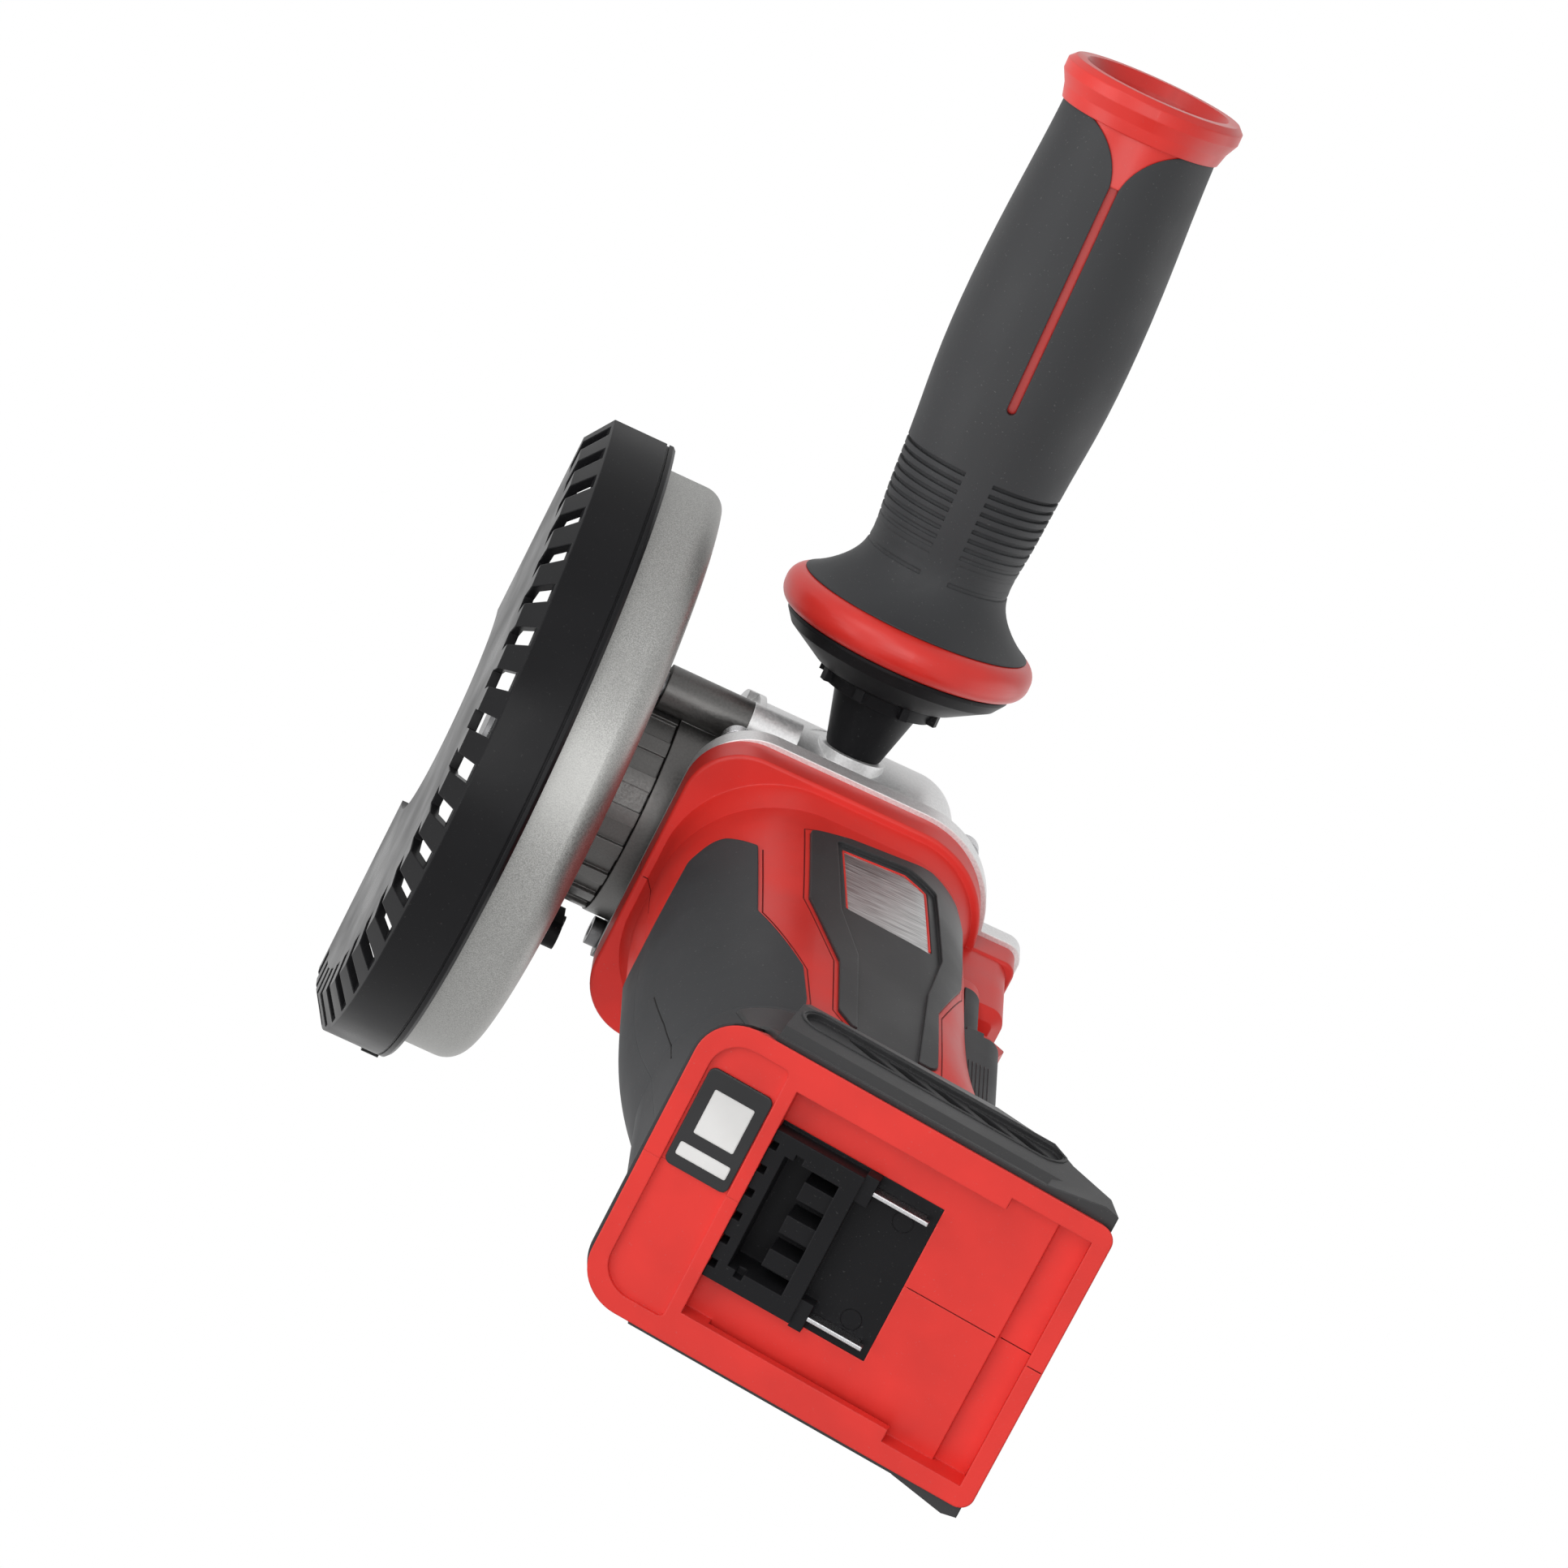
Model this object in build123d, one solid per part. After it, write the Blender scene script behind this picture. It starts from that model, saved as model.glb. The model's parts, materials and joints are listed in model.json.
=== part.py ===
from build123d import *
import math
import os

os.makedirs("parts", exist_ok=True)

# Frame: origin on the spindle axis at the disc seat, +X to the front, +Y to the left, +Z up.
# All lengths are millimetres and all angles are degrees.

# Driving sizes
disc_d = 125.0
axis_z = 65.0
plate_x = -38.0
foot_w = 72.0
foot_l = 96.0
foot_x = -200.0
foot_z = 85.0
foot_tilt = 13.0
wall = 3.0
run_gap = 0.05
free_gap = 0.35

# Housing cross sections: x, half width, lowest z, highest z, low corner radius, high corner radius
tube_sections = [
    (-44.0, 33.5, 31.5, 99.0, 28.0, 20.0),
    (-70.0, 33.0, 31.5, 100.0, 28.0, 18.0),
    (-105.0, 31.0, 32.0, 102.0, 28.0, 17.0),
    (-130.0, 29.2, 33.0, 104.5, 28.0, 16.0),
    (-152.0, 27.5, 38.5, 110.0, 24.0, 14.0),
]
foot_neck = (-172.0, 29.0, 40.5, 117.5, 18.0, 8.0)
foot_low_r = 10.5
foot_high_r = 3.5

# Bell flange between the motor housing and the gear housing
flange_half = 37.4
flange_low = 28.0
flange_high = 103.0
flange_low_r = 14.0
flange_high_r = 22.0
rim_over = 1.2
rim_short = 0.4
flange_t = 9.0
hump_half = 17.5
hump_top = 114.0
hump_rear_x = -77.0
bay_half = 19.5
bay_top = 105.5
spine_front_x = -104.0
spine_half = 21.5
spine_top = 109.0

# Battery tray in the foot, in foot coordinates: v across, u along the face, d below the rim
tray_depth = 5.0
tray_half = 28.3
tray_u0 = -25.0
trench_u0 = 36.0
trench_u1 = 44.0
trench_drop = 1.4
rail_depth = 2.4
rail_cut = 3.0
plate_u0 = -25.0
plate_u1 = 13.5
plate_half = 19.5
blade_v = 16.0

# Drive train
pinion_teeth = 12
gear_teeth = 36
gear_r = 21.0
shaft_r = 4.0
spindle_r = disc_d * 0.056
stator_r = 25.0
stator_x0 = -104.0
stator_x1 = -70.0

# Guard and cover
guard_r = disc_d / 2 + 11.5
guard_top = 13.0
guard_t = 2.0
guard_low = -17.0
neck_r = 25.9
collar_out = 29.3
collar_top = 24.0
cover_r = guard_r + 5.4
cover_face_z = -23.0
cover_lip_z = -3.0
cover_slots = 22

# Side handle
handle_tip = (-2.0, 31.6, 64.0)
handle_lean = 8.7
handle_drop = 1.4
handle_length = 167.0
handle_core_r = 13.5
stud_r = 4.0


def save(shape, name):
    export_step(shape, "parts/" + name + ".step")


def cross_plane(x):
    """Plane across the tool at x, with local coordinates (Y, Z) and its normal along +X."""
    return Plane(origin=(x, 0, 0), x_dir=(0, 1, 0), z_dir=(1, 0, 0))


def rod(start, direction, radius, length):
    return Part() + Solid.make_cylinder(radius, length, Plane(origin=start, z_dir=direction))


def tube(start, direction, outer, inner, length):
    return rod(start, direction, outer, length) - rod(start, direction, inner, length)


def block(x, y, z):
    """Box from three (low, high) pairs."""
    size = [pair[1] - pair[0] for pair in (x, y, z)]
    middle = [(pair[1] + pair[0]) / 2 for pair in (x, y, z)]
    return Pos(*middle) * Box(*size)


def turned(points):
    """Solid of revolution about Z from a closed (radius, z) outline."""
    outline = make_face(Polyline(*[(r, 0, z) for r, z in points], close=True))
    return revolve(outline, Axis.Z, 360)


def half_turned(points):
    """Half turn about Z over the rear side, from +Y through -X to -Y."""
    outline = make_face(Polyline(*[(0, r, z) for r, z in points], close=True))
    return revolve(outline, Axis.Z, 180)


def side_prism(points, corner, reach=60.0):
    """Prism over an (X, Z) outline, reaching from the middle plane to the left."""
    outline = make_face(Polyline(*points, close=True))
    if corner > 0:
        outline = fillet(outline.vertices(), corner)
    return extrude(Plane.XZ * outline, -reach)


def mirrored(shape):
    return mirror(shape, about=Plane.XZ)


# Housing form

def rounded_section(half_w, low, high, r_low, r_high):
    edges = [
        Line((r_low - half_w, low), (half_w - r_low, low)),
        CenterArc((half_w - r_low, low + r_low), r_low, -90, 90),
        Line((half_w, low + r_low), (half_w, high - r_high)),
        CenterArc((half_w - r_high, high - r_high), r_high, 0, 90),
        Line((half_w - r_high, high), (r_high - half_w, high)),
        CenterArc((r_high - half_w, high - r_high), r_high, 90, 90),
        Line((-half_w, high - r_high), (-half_w, low + r_low)),
        CenterArc((r_low - half_w, low + r_low), r_low, 180, 90),
    ]
    return make_face(edges)


def tube_face(section, inset):
    x, half_w, low, high, r_low, r_high = section
    outline = rounded_section(half_w - inset, low + inset, high - inset, r_low - inset, r_high - inset)
    return cross_plane(x) * outline


tilt = math.radians(foot_tilt)
foot_plane = Plane(
    origin=(foot_x, 0, foot_z),
    x_dir=(0, 1, 0),
    z_dir=(math.cos(tilt), 0, math.sin(tilt)),
)


def foot_face(inset):
    low_r = foot_low_r - inset
    high_r = max(foot_high_r - inset, 2.6)
    outline = rounded_section(foot_w / 2 - inset, inset - foot_l / 2, foot_l / 2 - inset, low_r, high_r)
    return foot_plane * outline


def grip_form(inset):
    """Tube and foot of the motor housing, made smaller all round by inset."""
    barrel = loft([tube_face(section, inset) for section in tube_sections])
    foot_faces = [tube_face(tube_sections[-1], inset), tube_face(foot_neck, inset), foot_face(inset)]
    return barrel + loft(foot_faces, ruled=True)


def top_block(x_rear, x_front, half_w, top, inset):
    height = 26.0
    corner = 4.0
    profile = RectangleRounded(2 * (half_w - inset), height, max(corner - inset, 1.0))
    placed = cross_plane(x_rear) * (Pos(0, top - inset - height / 2) * profile)
    return extrude(placed, x_front - x_rear)


def foot_block(v, u, d):
    """Box in foot coordinates."""
    return foot_plane.location * block(v, u, d)


def foot_point(v, u, d):
    return foot_plane.from_local_coords((v, u, d))


flange_outline = rounded_section(flange_half, flange_low, flange_high, flange_low_r, flange_high_r)
hump_height = 30.0
flange_outline += Pos(0, hump_top - hump_height / 2) * RectangleRounded(2 * hump_half, hump_height, 3.0)

flange = extrude(cross_plane(plate_x - flange_t) * flange_outline, flange_t)
flange_edge_r = 0.8
flange = fillet(flange.faces().sort_by(Axis.X)[0].edges(), flange_edge_r)
bell_sections = [
    (plate_x - flange_t + 0.1, 35.4, 30.0, 101.0, 26.0, 20.0),
    (plate_x - flange_t - 7.0, 33.3, 31.4, 99.3, 28.0, 19.0),
]
bell = loft([tube_face(section, 0) for section in bell_sections], ruled=True)
hump = top_block(hump_rear_x, plate_x - flange_t + 1.0, hump_half - 0.5, hump_top - 1.5, 0)
hump = chamfer(hump.faces().sort_by(Axis.X)[0].edges(), 2.5)
bay = top_block(spine_front_x, hump_rear_x + 5.0, bay_half, bay_top, 0)
spine_rear_x = -160.0
spine = top_block(spine_rear_x, spine_front_x, spine_half, spine_top, 0)
spine = chamfer(spine.faces().sort_by(Axis.X)[-1].edges(), 2.0)

cavity_form = grip_form(wall)
cavity_back = tray_depth + wall
cavity = cavity_form & foot_block((-80, 80), (-120, 120), (cavity_back, 200))
mouth_section = (plate_x - 10.0, 30.6, 34.2, 95.8, 25.0, 17.0)
cavity += extrude(tube_face(mouth_section, 0), 12.0)
cavity += top_block(hump_rear_x + wall, plate_x - flange_t - wall, hump_half - 0.5, hump_top - 1.5, wall)
cavity += top_block(spine_front_x, hump_rear_x + 5.0 - wall, bay_half, bay_top, wall)
cavity += top_block(spine_rear_x + 6.0, spine_front_x - wall, spine_half, spine_top, wall)


def cavity_slab(x0, x1):
    return cavity & block((x0, x1), (-60, 60), (0, 140))


# Bulkheads that carry the stator and the rear motor bearing
motor_axis = (1, 0, 0)
rear_bearing_r = 9.5
rear_bearing_x = (-118.0, -112.0)
ribs = Part()
for x0 in (stator_x0 + 3.0, stator_x1 - 6.0):
    ribs += cavity_slab(x0, x0 + 3.0)
ribs -= rod((stator_x0 - 5, 0, axis_z), motor_axis, stator_r, 60)
rear_wall = cavity_slab(*rear_bearing_x)
rear_wall -= rod((rear_bearing_x[0] - 1, 0, axis_z), motor_axis, rear_bearing_r, 10)
air_ring_r = 18.0
air_hole_r = 6.0
for angle in (45, 135, 225, 315):
    y = air_ring_r * math.cos(math.radians(angle))
    z = axis_z + air_ring_r * math.sin(math.radians(angle))
    rear_wall -= rod((rear_bearing_x[0] - 1, y, z), motor_axis, air_hole_r, 10)
rod_z = (95.0, 98.0)
rod_half = 2.5
rod_channel = block(
    (rear_bearing_x[0] - 1, stator_x1),
    (-rod_half - free_gap, rod_half + free_gap),
    (rod_z[0] - free_gap, rod_z[1] + free_gap),
)
rear_wall -= rod_channel
ribs -= rod_channel

# Screw bosses through both shells: x, z, half length of the screw
boss_spots = [(-123.0, 44.0, 17.0), (-148.0, 50.0, 18.0), (-178.0, 53.0, 22.0), (-180.0, 114.0, 22.0)]
boss_r = 3.8
screw_r = 1.5
screw_head_r = 3.2
screw_head_t = 2.4
screw_drive_r = 1.4
bosses = Part()
screw_wells = Part()
clamshell_screws = []
for x, z, reach in boss_spots:
    bosses += rod((x, -60, z), (0, 1, 0), boss_r, 120) & cavity
    screw_wells += rod((x, -60, z), (0, 1, 0), screw_head_r + free_gap, 60 - reach)
    shank = rod((x, -reach, z), (0, 1, 0), screw_r, 2 * reach - 4)
    head = rod((x, -reach - screw_head_t, z), (0, 1, 0), screw_head_r, screw_head_t)
    drive_plane = Plane((x, -reach - screw_head_t, z), z_dir=(0, 1, 0))
    drive = extrude(drive_plane * RegularPolygon(screw_drive_r, 6), screw_drive_r)
    clamshell_screws.append(shank + head - drive)

# Battery tray cuts
tray = foot_block((-tray_half, tray_half), (tray_u0, trench_u1), (-2, tray_depth))
rail_half = tray_half + rail_cut
tray += foot_block((-rail_half, rail_half), (tray_u0 + 6, trench_u1), (rail_depth, tray_depth))
entry_u0 = 25.0
tray += foot_block((-rail_half, rail_half), (entry_u0, trench_u1), (-2, tray_depth))
tray += foot_block((-rail_half, rail_half), (trench_u0, trench_u1), (0, tray_depth + trench_drop))
recess_u = (4.0 - foot_l / 2, tray_u0 - 3.0)
recess_outline = Rectangle(2 * 31.5, recess_u[1] - recess_u[0])
recess_outline = fillet(recess_outline.vertices().group_by(Axis.Y)[0], 7.5)
recess_outline = fillet(recess_outline.vertices().group_by(Axis.Y)[-1], 1.5)
recess = extrude(foot_plane * (Pos(0, sum(recess_u) / 2) * recess_outline), 1.0)
terminal_hole = foot_block((-plate_half, plate_half), (plate_u0, plate_u1), (tray_depth - 1, cavity_back + 1))

# Slot for the switch stem in the bay roof
slider_travel = 6.0
stem_x = (-97.0, -88.0)
stem_half = 4.0
switch_slot = block(
    (stem_x[0] - free_gap, stem_x[1] + slider_travel + free_gap),
    (-stem_half - free_gap, stem_half + free_gap),
    (bay_top - 8, bay_top + 2),
)

# Corner screws between the two housings
corner_spots = [(32.0, 36.0), (-32.0, 36.0), (31.0, 93.0), (-31.0, 93.0)]
rim_t = 6.5
corner_screw_r = 2.0
corner_screw_x = plate_x - flange_t + 1.5
corner_head_r = 3.7
corner_head_t = 3.4
corner_well_r = 4.4
corner_drive_r = 2.2
housing_screws = []
corner_holes = Part()
corner_wells = Part()
for y, z in corner_spots:
    corner_holes += rod((corner_screw_x, y, z), motor_axis, corner_screw_r, 20)
    corner_wells += rod((plate_x + rim_t, y, z), motor_axis, corner_well_r, 40)
    screw = rod((corner_screw_x, y, z), motor_axis, corner_screw_r, plate_x + rim_t - corner_screw_x)
    screw += rod((plate_x + rim_t, y, z), motor_axis, corner_head_r, corner_head_t)
    drive_plane = Plane((plate_x + rim_t + corner_head_t / 2, y, z), z_dir=motor_axis)
    screw -= extrude(drive_plane * RegularPolygon(corner_drive_r, 6), corner_head_t)
    housing_screws.append(screw)

# Soft panels: outlines are (X, Z) on the left side, read round each panel
panel_out = 0.7
panel_in = 1.7
field_inset = 0.3
plate_inset = 0.6
plate_t = 0.5
form_out = grip_form(-panel_out)
form_skin = grip_form(field_inset)
form_in = grip_form(panel_in)
rim_edge = 1.4
rim_stop = foot_block((-80, 80), (-120, 120), (rim_edge, 200))

lower_outline = [
    (-76, 45), (-109, 47.2), (-131, 58.5), (-145, 60.5), (-160, 60.5), (-188, 47), (-192, 30), (-170, 20),
    (-94, 20), (-88, 31), (-71, 33.5), (-67, 37.5),
]
lower_grip = ((form_out & side_prism(lower_outline, 2.5)) - form_in) & rim_stop

panel_outline = [
    (-64, 55.5), (-98, 57.5), (-121, 66.5), (-143, 68), (-147.5, 71.5), (-151, 92), (-124, 90.5), (-99, 96.5),
    (-66, 96), (-59.5, 93), (-57, 85), (-60, 65),
]
field_outline = [
    (-63.8, 61.8), (-97, 65), (-115, 70.5), (-160, 73.5), (-160, 87.5), (-118, 87.5), (-98, 90),
    (-66.8, 86.6), (-61.6, 79.5),
]
plate_outline = [(-65.3, 63.4), (-93.6, 66.3), (-97, 87.5), (-68, 84.6), (-63.4, 79)]
panel_seat = (form_out & side_prism(panel_outline, 2.0)) - form_in
plate_pocket = (form_out & side_prism(plate_outline, 1.0)) - grip_form(plate_inset + plate_t)
side_panel = panel_seat - ((form_out & side_prism(field_outline, 1.5)) - form_skin)
side_panel -= plate_pocket
side_plate = plate_pocket & grip_form(plate_inset)

spine_skin = top_block(spine_rear_x, spine_front_x - 2.0, spine_half + panel_out, spine_top + panel_out, 0)
spine_skin -= top_block(spine_rear_x - 1, spine_front_x, spine_half, spine_top, 1.4)
bay_skin = top_block(spine_front_x - 2.0, hump_rear_x + 4.0, bay_half + 0.4, bay_top, 0)
bay_skin -= top_block(spine_front_x - 3.0, hump_rear_x + 6.0, bay_half, bay_top + 6.0, 1.2)
top_grip = spine_skin & block((-150, spine_front_x), (0.1, 60), (99, 130))
top_grip += bay_skin & block((spine_front_x - 2.0, hump_rear_x), (0.1, 60), (100.5, bay_top - 0.8))
corner_link = (spine_half + panel_out, bay_half - 1.2)
top_grip += block((spine_front_x - 2.0, spine_front_x), corner_link[::-1], (100.5, bay_top - 0.8))
top_grip -= form_in

# Foot bands: bumpers along both sides of the foot, with a thick corner at the top and a vent recess
band_out = 1.4
band_rim = 1.2
band_u = (-34.0, 46.4)
band_half = foot_w / 2 + 1.6
band_top_spots = [foot_point(0, 27.0, 22.0), foot_point(0, 43.2, 6.0), foot_point(0, band_u[1], band_rim)]
band_low_spot = foot_point(0, band_u[0], band_rim)
band_outline = [(band_low_spot.X, band_low_spot.Z), (-156, 47), (-158, 106)]
band_outline += [(spot.X, spot.Z) for spot in band_top_spots]
bumper_profile = [
    (foot_w / 4, band_rim), (foot_w / 2, band_rim), (band_half, 6.5), (band_half, 22.0),
    (band_half - 0.8, 24.0), (band_half - 8.4, 46.0), (foot_w / 4, 46.0),
]
bumper = extrude(Plane.XZ * make_face(Polyline(*bumper_profile, close=True)), band_u[0] - band_u[1])
bumper = foot_plane.location * (Pos(0, band_u[0], 0) * bumper)
corner_points = [
    (foot_w / 4, 27.0), (band_half - 0.4, 30.0), (band_half + 1.8, 43.0), (band_half + 1.0, band_u[1]),
    (foot_w / 4, band_u[1]),
]
corner_bumper = extrude(make_face(Polyline(*corner_points, close=True)), 22.0)
corner_bumper = foot_plane.location * (Pos(0, 0, band_rim) * corner_bumper)
form_band = grip_form(-band_out) + bumper + corner_bumper
band_seat = (form_band & side_prism(band_outline, 0)) - form_in
band_seat -= foot_block((-1, foot_w / 2 - 3.0), (38.0, 60), (-5, 40))

vent_u = (-32.0, 29.5)
vent_d = (13.6, 21.4)
vent_depth = 1.3
vent_count = 5
vent_floor = 1.2
vent_mid = Pos(sum(vent_u) / 2, sum(vent_d) / 2)
vent_size = (vent_u[1] - vent_u[0], vent_d[1] - vent_d[0])
vent_recess = extrude(Plane.YZ * (vent_mid * SlotOverall(*vent_size)), 20)
foot_band = band_seat - foot_plane.location * (Pos(band_half - vent_depth, 0, 0) * vent_recess)
louvres = Sketch()
for index in range(vent_count):
    louvres += Pos(-14.0 + index * 9.5, sum(vent_d) / 2) * (Rot(0, 0, -25) * SlotOverall(17.0, 2.6))
louvres &= vent_mid * SlotOverall(vent_size[0] - 1.2, vent_size[1] - 1.2)
vent_slots = foot_plane.location * (Pos(foot_w / 4, 0, 0) * extrude(Plane.YZ * louvres, 40))
foot_band -= vent_slots - grip_form(vent_floor)
lower_grip -= side_prism(band_outline, 0)

left_trim = [lower_grip, side_panel, side_plate, top_grip, foot_band]
trim_seats = [lower_grip, panel_seat, top_grip, band_seat]

# Motor housing shells
shell = grip_form(0) + bell + flange + hump + bay + spine
shell -= cavity
shell += ribs + rear_wall + bosses
shell -= tray + recess + terminal_hole + switch_slot + corner_holes
for x, z, reach in boss_spots:
    shell -= rod((x, -reach, z), (0, 1, 0), screw_r, 2 * reach - 4)
left_half = shell & block((-260, 0), (0, 80), (0, 160))
right_half = shell & block((-260, 0), (-80, 0), (0, 160))
for seat in trim_seats:
    left_half -= seat
    right_half -= mirrored(seat)
right_half -= screw_wells
save(left_half, "motor_housing_left")
save(right_half, "motor_housing_right")
for piece, name in zip(left_trim, ("lower_grip", "side_panel", "side_plate", "top_grip", "foot_band")):
    save(piece, name + "_left")
    save(mirrored(piece) - screw_wells, name + "_right")
save(Compound(children=clamshell_screws), "clamshell_screws")
save(Compound(children=housing_screws), "housing_screws")

foot_plate = extrude(foot_plane.offset(0.4) * (Pos(11.9, -35.8) * RectangleRounded(24.0, 15.0, 1.6)), 0.6)
save(foot_plate, "foot_plate")

# Battery terminals in the foot
block_top = 0.8
block_half = 18.6
block_end = -4.0
well_half = 14.0
well_u = (-21.0, -8.0)
well_depth = tray_depth + 6
finger_half = 2.2
finger_u0 = -15.0
notch_half = 1.0
ear_half = 3.4
terminal_block = foot_block((-plate_half, plate_half), (plate_u0, plate_u1), (tray_depth, cavity_back))
terminal_block += foot_block((-block_half, block_half), (plate_u0, block_end), (block_top, tray_depth + 8))
terminal_block -= foot_block((-well_half, well_half), well_u, (block_top - 1, well_depth))
for v in (8.0, -0.5, -9.0):
    finger_v = (v - finger_half, v + finger_half)
    terminal_block += foot_block(finger_v, (finger_u0, well_u[1]), (block_top + 2.5, well_depth))
for v in (-15.0, -9.0, -3.0, 3.0, 9.0, 15.0):
    notch_v = (v - notch_half, v + notch_half)
    terminal_block -= foot_block(notch_v, (plate_u0 - 1, plate_u0 + 1.8), (block_top - 1, tray_depth))
for side in (-1, 1):
    ear_v = (side * blade_v - ear_half, side * blade_v + ear_half)
    terminal_block += foot_block(ear_v, (block_end, block_end + 3.0), (block_top + 0.6, tray_depth))
    keyway_v = (side * well_half - 1.6, side * well_half + 1.6)
    terminal_block -= foot_block(keyway_v, (-19.0, -17.0), (0, 4.0))
terminal_blades = []
blade_t = 0.9
for side in (-1, 1):
    v0 = side * blade_v - blade_t / 2
    blade = foot_block((v0, v0 + blade_t), (-6.0, 11.0), (1.6, cavity_back + 4))
    hook = foot_block((v0, v0 + blade_t), (9.6, 12.0), (1.6, 3.4))
    terminal_blades.append(blade + hook)
for blade in terminal_blades:
    terminal_block -= blade
save(terminal_block, "terminal_block")
save(Compound(children=terminal_blades), "terminal_blades")

# Switch: slider, rod and module
slider_x = (-99.0, -84.0)
slider_half = 14.0
slider_base = bay_top + free_gap
slider_profile = make_face(
    Polyline(
        (slider_x[0], slider_base),
        (slider_x[1], slider_base),
        (slider_x[1], slider_base + 3.0),
        (slider_x[1] - 4.0, slider_base + 7.4),
        (slider_x[0] + 4.0, slider_base + 5.0),
        (slider_x[0], slider_base + 2.2),
        close=True,
    )
)
slider_profile = fillet(slider_profile.vertices().sort_by(Axis.Y)[-4:], 1.0)
switch_slider = extrude(Plane.XZ * slider_profile, slider_half, both=True)
for index in range(3):
    x = slider_x[0] + 4.5 + index * 2.4
    switch_slider -= block((x, x + 0.9), (-10, 10), (slider_base + 4.4 + index * 0.55, slider_base + 12))
switch_slider += block(stem_x, (-stem_half, stem_half), (rod_z[1], slider_base))
save(switch_slider, "switch_slider")

rod_rear = -125.0
switch_rod = block((rod_rear, stem_x[1]), (-rod_half, rod_half), rod_z)
save(switch_rod, "switch_rod")
module_x = (-134.0, rear_bearing_x[0])
switch_module = block(module_x, (-9, 9), (84, 100))
switch_module -= block(
    (rod_rear - free_gap, module_x[1] + 1),
    (-rod_half - free_gap, rod_half + free_gap),
    (rod_z[0] - free_gap, rod_z[1] + free_gap),
)
save(switch_module, "switch_module")

# Control board and its leads
board_x = (-141.6, -140.0)
control_board = cavity_slab(*board_x)
control_board -= block((board_x[0] - 1, board_x[1] + 1), (-60, 60), (100, 140))
chip_pitch = (15.0, 16.0)
chip_half = (4.5, 5.0)
chip_x = (board_x[1], board_x[1] + 3.0)
capacitor_r = 5.0
capacitor_l = 14.0
for index in range(6):
    y = (index % 3 - 1) * chip_pitch[0]
    z = 56.0 + (index // 3) * chip_pitch[1]
    control_board += block(chip_x, (y - chip_half[0], y + chip_half[0]), (z - chip_half[1], z + chip_half[1]))
for y in (-9.0, 9.0):
    control_board += rod((board_x[0] - capacitor_l, y, 62), motor_axis, capacitor_r, capacitor_l)
save(control_board, "control_board")

power_leads = []
for side in (-1, 1):
    start = Vector(board_x[0], side * 12.0, 78.0)
    end = foot_point(side * 12.0, -6.0, tray_depth + 8)
    path = Spline(
        [start, start + Vector(-12, 0, 0), end + foot_plane.z_dir * 8, end],
        tangents=[(-1, 0, 0), tuple(foot_plane.z_dir * -1)],
    )
    power_leads.append(sweep(Plane(path @ 0, z_dir=path % 0) * Circle(1.5), path))
save(Compound(children=power_leads), "power_leads")

# Motor: stator, baffle, rotor, fan
tooth_count = 6
bore_r = 14.6
stator_core = tube((stator_x0, 0, axis_z), motor_axis, stator_r, stator_r - 4.0, stator_x1 - stator_x0)
tooth_w = 3.0
shoe_w = 5.5
shoe_t = 1.6
coil_w = 5.6
coil_over = 3.2
coils = []
for index in range(tooth_count):
    turn = Rot(index * 360 / tooth_count, 0, 0)
    tooth = block((stator_x0, stator_x1), (-tooth_w, tooth_w), (bore_r, stator_r - 3.5))
    shoe = block((stator_x0, stator_x1), (-shoe_w, shoe_w), (bore_r, bore_r + shoe_t))
    pole = (tooth + shoe) - rod((stator_x0 - 1, 0, 0), motor_axis, bore_r, 60)
    stator_core += Pos(0, 0, axis_z) * (turn * pole)
    coil_x = (stator_x0 - coil_over, stator_x1 + coil_over)
    coil = block(coil_x, (-coil_w, coil_w), (bore_r + shoe_t, stator_r - 5.2))
    coil = fillet(coil.edges().filter_by(Axis.Z), 2.5)
    coil -= block((stator_x0, stator_x1), (-tooth_w, tooth_w), (0, 40))
    coils.append(Pos(0, 0, axis_z) * (turn * coil))
save(stator_core, "stator_core")
save(Compound(children=coils), "stator_windings")

fan_x = (-60.0, -48.0)
fan_r = 26.0
baffle_x = fan_x[0] - 4.0
fan_baffle = cavity_slab(baffle_x - 2.0, baffle_x)
fan_baffle -= rod((baffle_x - 5, 0, axis_z), motor_axis, 17.0, 10)
save(fan_baffle, "fan_baffle")

rotor_len = stator_x1 - stator_x0
magnet_in = bore_r - 2.2
magnet_out = bore_r - 0.6
shaft_rear = rear_bearing_x[0] - 2.0
pinion_back = -24.0
pinion_bore = 2.4
rotor_shaft = rod((shaft_rear, 0, axis_z), motor_axis, shaft_r, pinion_back - shaft_rear)
rotor_shaft += rod((pinion_back, 0, axis_z), motor_axis, pinion_bore, 7.0)
save(rotor_shaft, "rotor_shaft")
save(tube((stator_x0, 0, axis_z), motor_axis, magnet_in, shaft_r, rotor_len), "rotor_core")
magnets = []
magnet_ring = tube((stator_x0, 0, axis_z), motor_axis, magnet_out, magnet_in, rotor_len)
for index in range(4):
    wedge = block((stator_x0 - 1, stator_x1 + 1), (0.4, 30), (0.4, 30))
    magnets.append(magnet_ring & (Pos(0, 0, axis_z) * (Rot(index * 90, 0, 0) * wedge)))
save(Compound(children=magnets), "rotor_magnets")

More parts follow.
